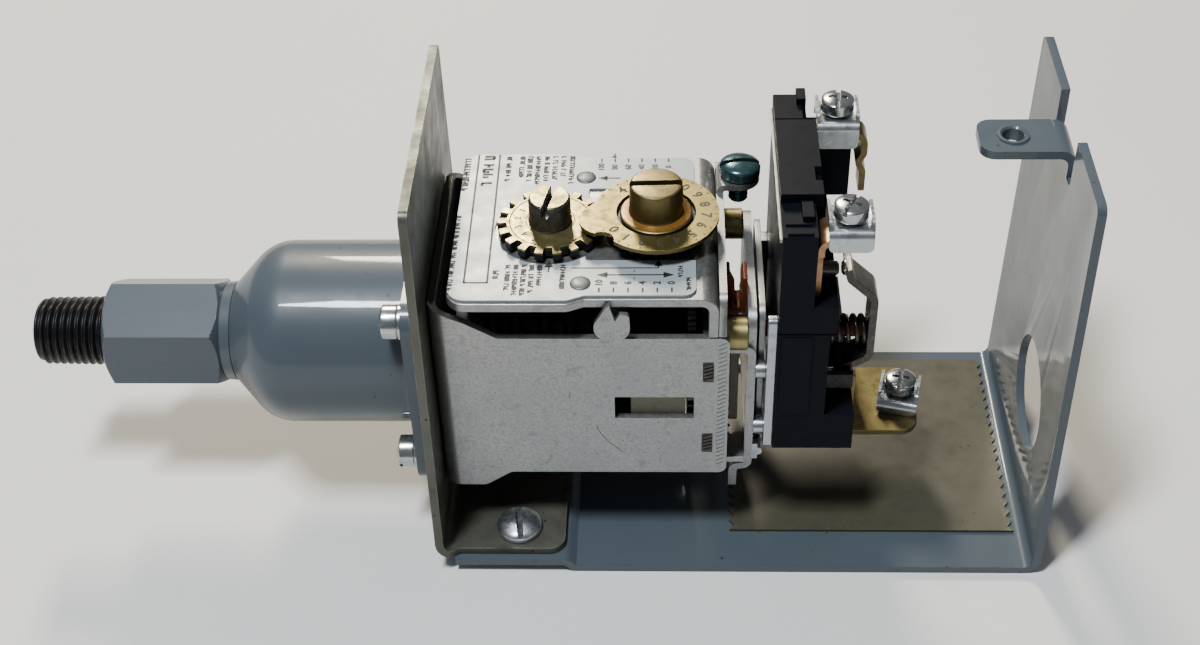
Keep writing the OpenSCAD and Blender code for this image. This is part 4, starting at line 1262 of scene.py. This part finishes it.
def spacers():
    lo, hi = span("frame_spacers")
    posts = []
    for side in (-1, 1):
        profile = [(0, lo.x), (2.8, lo.x), (3, lo.x + 0.2), (3, hi.x - 0.2), (2.8, hi.x), (0, hi.x)]
        posts.append(turned(profile, "x", (0, side * 16, 47.9), 48))
    piece(together(*posts), "brass_spacers", "frame_spacers", "pale_brass", ease=0.0, sharp=30)


def contact_bracket():
    web = prism(rounded([(-16.9, 17.0), (16.9, 17.0), (16.9, 52.2), (-16.9, 52.2)], [1, 1, 3.5, 3.5]), "x",
                58.4, 59.9)
    cutters = [rod(4, "x", 50, 65, (0, 0, AXIS_Z)),
               prism(box_outline(-15, 16.9, 15, 22.1, 0.6), "x", 50, 65)]
    cut(web, *cutters)
    sides = []
    for side in (-1, 1):
        path = [(55.0, 45.3), (59.15, 45.3), (59.15, 15.75), (56.4, 15.75), (56.35, 10.6)]
        ends = sorted((side * 17.6, side * 16.2))
        sides.append(prism(sheet_section(path, 1.5, [0, 1.3, 1.3, 1.3, 0]), "y", ends[0], ends[1]))
        inner = sorted((side * 16.3, side * 9.0))
        low = [(59.1, 17.6), (59.1, 15.75), (56.4, 15.75), (56.35, 10.6)]
        sides.append(prism(sheet_section(low, 1.48, [0, 1.3, 1.3, 0]), "y", inner[0], inner[1]))
    piece(together(web, *sides), "contact_bracket_sheet", "contact_bracket", "zinc", ease=0.14)
    inner = block((55.5, -13.4, 24.0), (57.1, -12.2, 43.2))
    extra(inner, "bracket_inner_strip", "contact_bracket", "drab", ease=0.1)
    for side, name in ((-1, "front"), (1, "back")):
        ends = sorted((side * 13.2, side * 19.4))
        lug = block((52.4, ends[0], 18.6), (58.3, ends[1], 20.0))
        extra(lug, "lower_lug_" + name, "contact_bracket", "zinc", ease=0.15)


def block_carrier():
    hi = span("block_mounting_plate")[1]
    outline = [(-19.4, 22), (19.4, 22), (19.4, 44), (-17.2, 44), (-17.4, 53.6), (-19.4, 53.6)]
    frame_plate = prism(rounded(outline, [1.4, 1.4, 1.4, 0.5, 0.5, 1.0]), "x", 61.75, hi.x)
    cut(frame_plate, prism(box_outline(-15.6, 24, 15.6, 70, 1.0), "x", 60, 65))
    bosses = [rod(1.6, "x", 59.92, 61.73, (0, s * 16.9, z), 24) for s in (-1, 1) for z in (26, 40)]
    piece(together(frame_plate, *bosses), "block_carrier_plate", "block_mounting_plate", "bright_zinc",
          ease=0.14)
    strip = prism(box_outline(-19.6, 71.2, 19.6, 72.1, 0.3), "x", 62.9, 63.35)
    extra(strip, "block_edge_strip", "block_mounting_plate", "zinc", ease=0.05)


def lever():
    plate = prism(rounded([(-14.6, 19.5), (14.6, 19.5), (14.6, 51.6), (-14.6, 51.6)], [0, 0, 3, 3]), "x",
                  60.45, 61.55)
    eye = turned([(0.96, -14.6), (1.9, -14.6), (1.9, 14.6), (0.96, 14.6)], "y", (60.9, 0, 19.5), 32)
    cut(plate, rod(0.97, "y", -15, 15, (60.9, 0, 19.5), 24))
    piece(together(plate, eye), "lever_plate", "operating_lever", ease=0.12)


def insulator_shapes():
    """One wavy arm of the brown moulded insulator, which shows between the strap and the bracket."""
    left = [(54.5, 47.9), (58.3, 47.9), (58.3, 56.0), (57.5, 56.0), (57.1, 54.4), (57.5, 52.4), (57.0, 50.4),
            (57.3, 49.3), (55.4, 49.3), (55.9, 50.4), (56.2, 51.9), (55.3, 54.0), (55.2, 56.0), (54.5, 56.0)]
    wave = prism(rounded(left, [0.2, 0.2, 0.2, 0.3, 0.9, 0.9, 0.9, 0.4, 0.4, 0.9, 0.9, 0.9, 0.3, 0.2]),
                 "y", -10.5, -5.5)
    extra(wave, "insulator_wave", "contact_bracket", "brown_phenolic", ease=0.15)


# ---- Contact block ----

def contact_block():
    x0 = 63.4
    x1 = 69.4
    shapes = [((x0, -20, 23), (x1, 20, 72.8)), ((x0, 12.2, 72), (68.5, 20, 74.8)),
              ((x0, -10.6, 72), (70.8, 12.3, 74.8)),
              ((x1 - 1.9, 16.4, 72), (x1 - 0.2, 20, 76.2)), ((x1 - 0.5, -20, 23), (78.1, 20, 31.4)),
              ((x1 - 0.5, -20, 31), (72.6, 20, 51)), ((x1 - 0.5, -20, 50.6), (73.8, 20, 57.3)),
              ((x1 - 0.5, 12.9, 57), (77.7, 20, 69.75))]
    parts = [block(lo, hi) for lo, hi in shapes]
    body = fused(parts[0], *parts[1:])
    cutters = [rod(1.56, "x", 60, 90, (0, -11, 44.8), 32), rod(1.95, "z", 60, 99, (74.7, 15.8, 0), 32)]
    cutters += [block((x0 - 0.5, -20.5, 50.9), (x1 + 4.5, -19.75, 51.3)),
                block((x0 - 0.5, 11.9, 74.5), (71, 12.2, 75))]
    cutters += [block((69.6, -6.5, 72.9), (71, -2.5, 75)),
                block((x0 - 0.1, -20.4, 72.3), (x0 + 0.4, 20.4, 72.5))]
    cut(body, *cutters)
    piece(body, "contact_block_moulding", "contact_block", ease=0.28, segments=3)
    ribs = [prism(box_outline(64.2, -19.6, 68.6, -19.2, 0.1), "z", 72.7, 73.3),
            prism(box_outline(63.9, -16.9, 68.4, -16.4, 0.1), "z", 72.7, 73.2),
            prism(box_outline(66.9, -15.8, 68.9, -11.2, 0.3), "z", 72.7, 74.0),
            prism(box_outline(64.1, 31.8, 69.6, 50.4, 0.6), "y", -20.3, -19.9)]
    extra(together(*ribs), "contact_block_ribs", "contact_block", "black_phenolic", ease=0.1)


def terminal_strips():
    pad = 70.4
    back = prism(sheet_section([(69.6, pad), (80.1, pad), (80.1, 66.2), (79.1, 64.4), (80.1, 62.4),
                                (80.1, 58)], 1.2,
                               [0, 2.4, 1.2, 1.2, 1.2, 0]), "y", 12.9, 17.6)
    cut(back, rod(1.9, "z", 50, 90, (74.7, 15.8, 0)))
    piece(back, "back_strip", "terminal_strip_back", "olive_brass", ease=0.15)
    front = prism(sheet_section([(78, pad), (70.1, pad), (70.1, 57.35)], 1.2, [0, 1.6, 0]), "y", -18.8,
                  -11.8)
    leg = prism(rounded([(-16.9, 50), (-11.3, 50), (-11.3, 80), (-19.8, 80), (-19.8, 68), (-16.9, 66.4)],
                        [0, 0, 0, 0, 0.8, 0.8]), "x", 60, 76)
    low = block((76, -30, 60), (90, 30, 80))
    kept(front, fused(leg, low))
    cut(front, rod(1.9, "z", 50, 90, (74.7, -15.8, 0)))
    piece(front, "front_strip", "terminal_strip_front", "copper_strip", ease=0.12)
    lower = prism(sheet_section([(78.75, 31), (78.75, 16.2), (92.4, 16.2)], 1.2, [0, 1.4, 0]), "y", -9, 9)
    plan = rounded([(70, -9), (92.4, -9), (92.4, 9), (70, 9)], [0, 3.6, 3.6, 0])
    kept(lower, prism(plan, "z", 10, 40))
    cut(lower, rod(1.9, "z", 10, 20, (89.3, -0.4, 0)))
    piece(lower, "lower_strip", "terminal_strip_lower", "brass", ease=0.15)


def saddle(at, spin, drop):
    """A wire clamp: a small plate, its front edge turned down by drop, with low walls at the sides."""
    path = [(-4.0, 0.05 - drop), (-4.0, 2.3), (4.0, 2.3), (4.0, 0.05)]
    clamp = prism(sheet_section(path, 0.95, [0, 1.0, 1.0, 0]), "x", -3.8, 3.8)
    skirt = rounded([(-3.8, 0.05 - drop), (3.8, 0.05 - drop), (3.8, 9), (-3.8, 9)], [1.1, 1.1, 0, 0])
    kept(clamp, prism(skirt, "y", -6, 6))
    cut(clamp, rod(1.9, "z", -5, 9, (0, 0, 0), 32))
    walls = []
    for side in (-1, 1):
        outline = rounded([(-3.9, 2.1), (3.9, 2.1), (3.6, 4.3), (-2.9, 4.3)], [0, 0, 0.8, 1.3])
        ends = sorted((side * 3.85, side * 3.3))
        walls.append(prism(outline, "x", ends[0], ends[1]))
    fused(clamp, *walls)
    return turned_to(clamp, at, "z", spin)


def terminals():
    z = 71.0
    places = [((74.9, -15.8, z), 0, 1.35, 62), ((74.9, 15.8, z), 0, 2.4, 84),
              ((89.3, -0.4, 16.85), -13, 0, 78)]
    saddles = [saddle(at, spin, drop) for at, spin, drop, _ in places]
    piece(together(*saddles), "wire_saddles", "terminal_saddles", "bright_zinc", ease=0.16)
    screws = []
    for at, _, _, slot_spin in places:
        one = screw(3.0, 2.7, 0.7, 0.85, 1.15, 1.85, 6.6, cross=True, side=0.85)
        screws.append(turned_to(one, (at[0], at[1], at[2] + 3.45), "z", slot_spin))
    piece(together(*screws), "terminal_screw_set", "terminal_screws", "screw_steel", ease=0.1)


def contacts():
    y = -11.0
    lo, hi = span("contact_arm")
    section = sheet_section([(75.6, 60.6), (76.2, 58.4), (80.7, 54.0), (80.7, 40.2), (76.2, 37.6)], 1.4,
                            [0, 1.0, 2.2, 2.2, 0])
    arm = prism(section, "y", y - 3, y + 3)
    eye = turned([(1.06, y - 3), (1.9, y - 3), (1.9, y + 3), (1.06, y + 3)], "y", (76.4, 0, 36.4), 32)
    piece(together(arm, eye), "contact_arm_blade", "contact_arm", ease=0.12)
    lo, hi = span("contact_spring")
    spring = coil(2.4, 0.85, 5, lo.x, hi.x, y, 44.8, 24, 10)
    piece(spring, "contact_coil", "contact_spring", ease=0.0, sharp=60,
          bend=("contact_arm", (lo.x + 1, y, 44.8), (hi.x - 0.5, y, 44.8)))
    lo, hi = span("moving_contact")
    bead = turned([(0, lo.x), (0.9, lo.x + 0.05), (1.4, lo.x + 0.4), (1.4, hi.x), (0, hi.x)], "x",
                  (0, y - 1.4, 60.2), 32)
    piece(bead, "moving_contact_bead", "moving_contact", ease=0.0, sharp=60)
    low = turned([(0, 72.65), (1.5, 72.65), (1.5, 74.9), (1.1, 75.3), (0, 75.4)], "x", (0, y, 33.2), 32)
    high = turned([(0, 70.7), (1.3, 70.7), (1.3, 73.6), (0.9, 74.0), (0, 74.0)], "x", (0, y - 1.6, 60.2), 32)
    piece(low, "fixed_contact_bead", "fixed_contacts", ease=0.0, sharp=40)
    extra(high, "upper_contact_bead", "fixed_contacts", "spring_steel", sharp=40)


def carried_over():
    """CAD nodes whose shape is right keep their mesh and get a finish from the record's slots."""
    special = {"bellows_cap": "brass", "dial_bushings": "brass", "lever_pin": "bright_zinc",
               "contact_pivot": "black_steel"}
    for name, node in frame["nodes"].items():
        if node.hide_render:
            continue
        node.data.materials.clear()
        node.data.materials.append(LOOKS[special.get(name, SLOT[name])])


# ---- Setting ----

def floor():
    look = Look("table", (0.72, 0.71, 0.675), roughness=0.72)
    look.tint(look.band(look.noise(160, 3), 0.35, 0.7, 0, 0.6), (0.655, 0.65, 0.66))
    look.bump(look.noise(1.4, 3), 0.05, 0.25)
    mesh = bmesh.new()
    bmesh.ops.create_grid(mesh, x_segments=4, y_segments=4, size=3.0)
    table = made(mesh)
    table.name = "table"
    table.data.materials.append(look.material)


def area_light(name, at, aim, size, power, colour):
    data = bpy.data.lights.new(name, "AREA")
    data.shape = "RECTANGLE"
    data.size, data.size_y = size
    data.energy = power
    data.color = colour
    lamp = bpy.data.objects.new(name, data)
    bpy.context.scene.collection.objects.link(lamp)
    lamp.location = at
    lamp.rotation_euler = (Vector(aim) - Vector(at)).to_track_quat("-Z", "Y").to_euler()


def lights():
    """A cool lamp nearly overhead, a warm one from behind, and a dim room."""
    world = bpy.data.worlds.new("studio")
    bpy.context.scene.world = world
    world.use_nodes = True
    background = world.node_tree.nodes["Background"]
    background.inputs["Color"].default_value = (0.86, 0.92, 1.0, 1.0)
    background.inputs["Strength"].default_value = 0.20
    aim = (0.0, 0.0, 0.03)
    area_light("overhead", (-0.14, -0.19, 0.81), aim, (0.09, 0.20), 9.2, (0.92, 0.96, 1.0))
    area_light("window", (-0.16, 0.86, 0.74), aim, (0.16, 0.26), 13.5, (1.0, 0.90, 0.72))


def camera():
    """The view: the camera's place in case millimetres, then its heading, pitch and roll."""
    heading = math.radians(-2.89)
    pitch = math.radians(41.04)
    roll = math.radians(-1.92)
    data = bpy.data.cameras.new("camera")
    data.sensor_width = 36
    data.lens = 52.2
    view = bpy.data.objects.new("camera", data)
    bpy.context.scene.collection.objects.link(view)
    forward = Vector((math.sin(heading) * math.cos(pitch), math.cos(heading) * math.cos(pitch),
                      -math.sin(pitch)))
    right = Vector((math.cos(heading), -math.sin(heading), 0))
    up = right.cross(forward)
    right_rolled = right * math.cos(roll) + up * math.sin(roll)
    up_rolled = up * math.cos(roll) - right * math.sin(roll)
    turn = Matrix((right_rolled, up_rolled, -forward)).transposed().to_4x4()
    view.matrix_world = Matrix.Translation(case((43.77, -249.7, 254.2))) @ turn
    data.clip_start = 0.01
    bpy.context.scene.camera = view


floor()
lights()
camera()
base_sheet()
bracket_sheet()
bracket_screws()
bell()
housing_screws()
inlet_fitting()
pipe_nipple()
bellows()
frame_sheet()
frame_end_plate()
top_plate()
ground_strap()
rack_guides()
scale_plate()
scale_print()
rivets()
range_parts()
range_pointer()
range_dial()
pinion("range_pinion", "range_pinion_gear", (RANGE_X, DIAL_Y), 5.2, 14)
pinion("differential_pinion", "differential_pinion_gear", (DIFF_X, DIAL_Y), 3.8, 10)
differential_dial()
differential_slide()
ground_screw()
spacers()
contact_bracket()
block_carrier()
lever()
insulator_shapes()
contact_block()
terminal_strips()
terminals()
contacts()
carried_over()
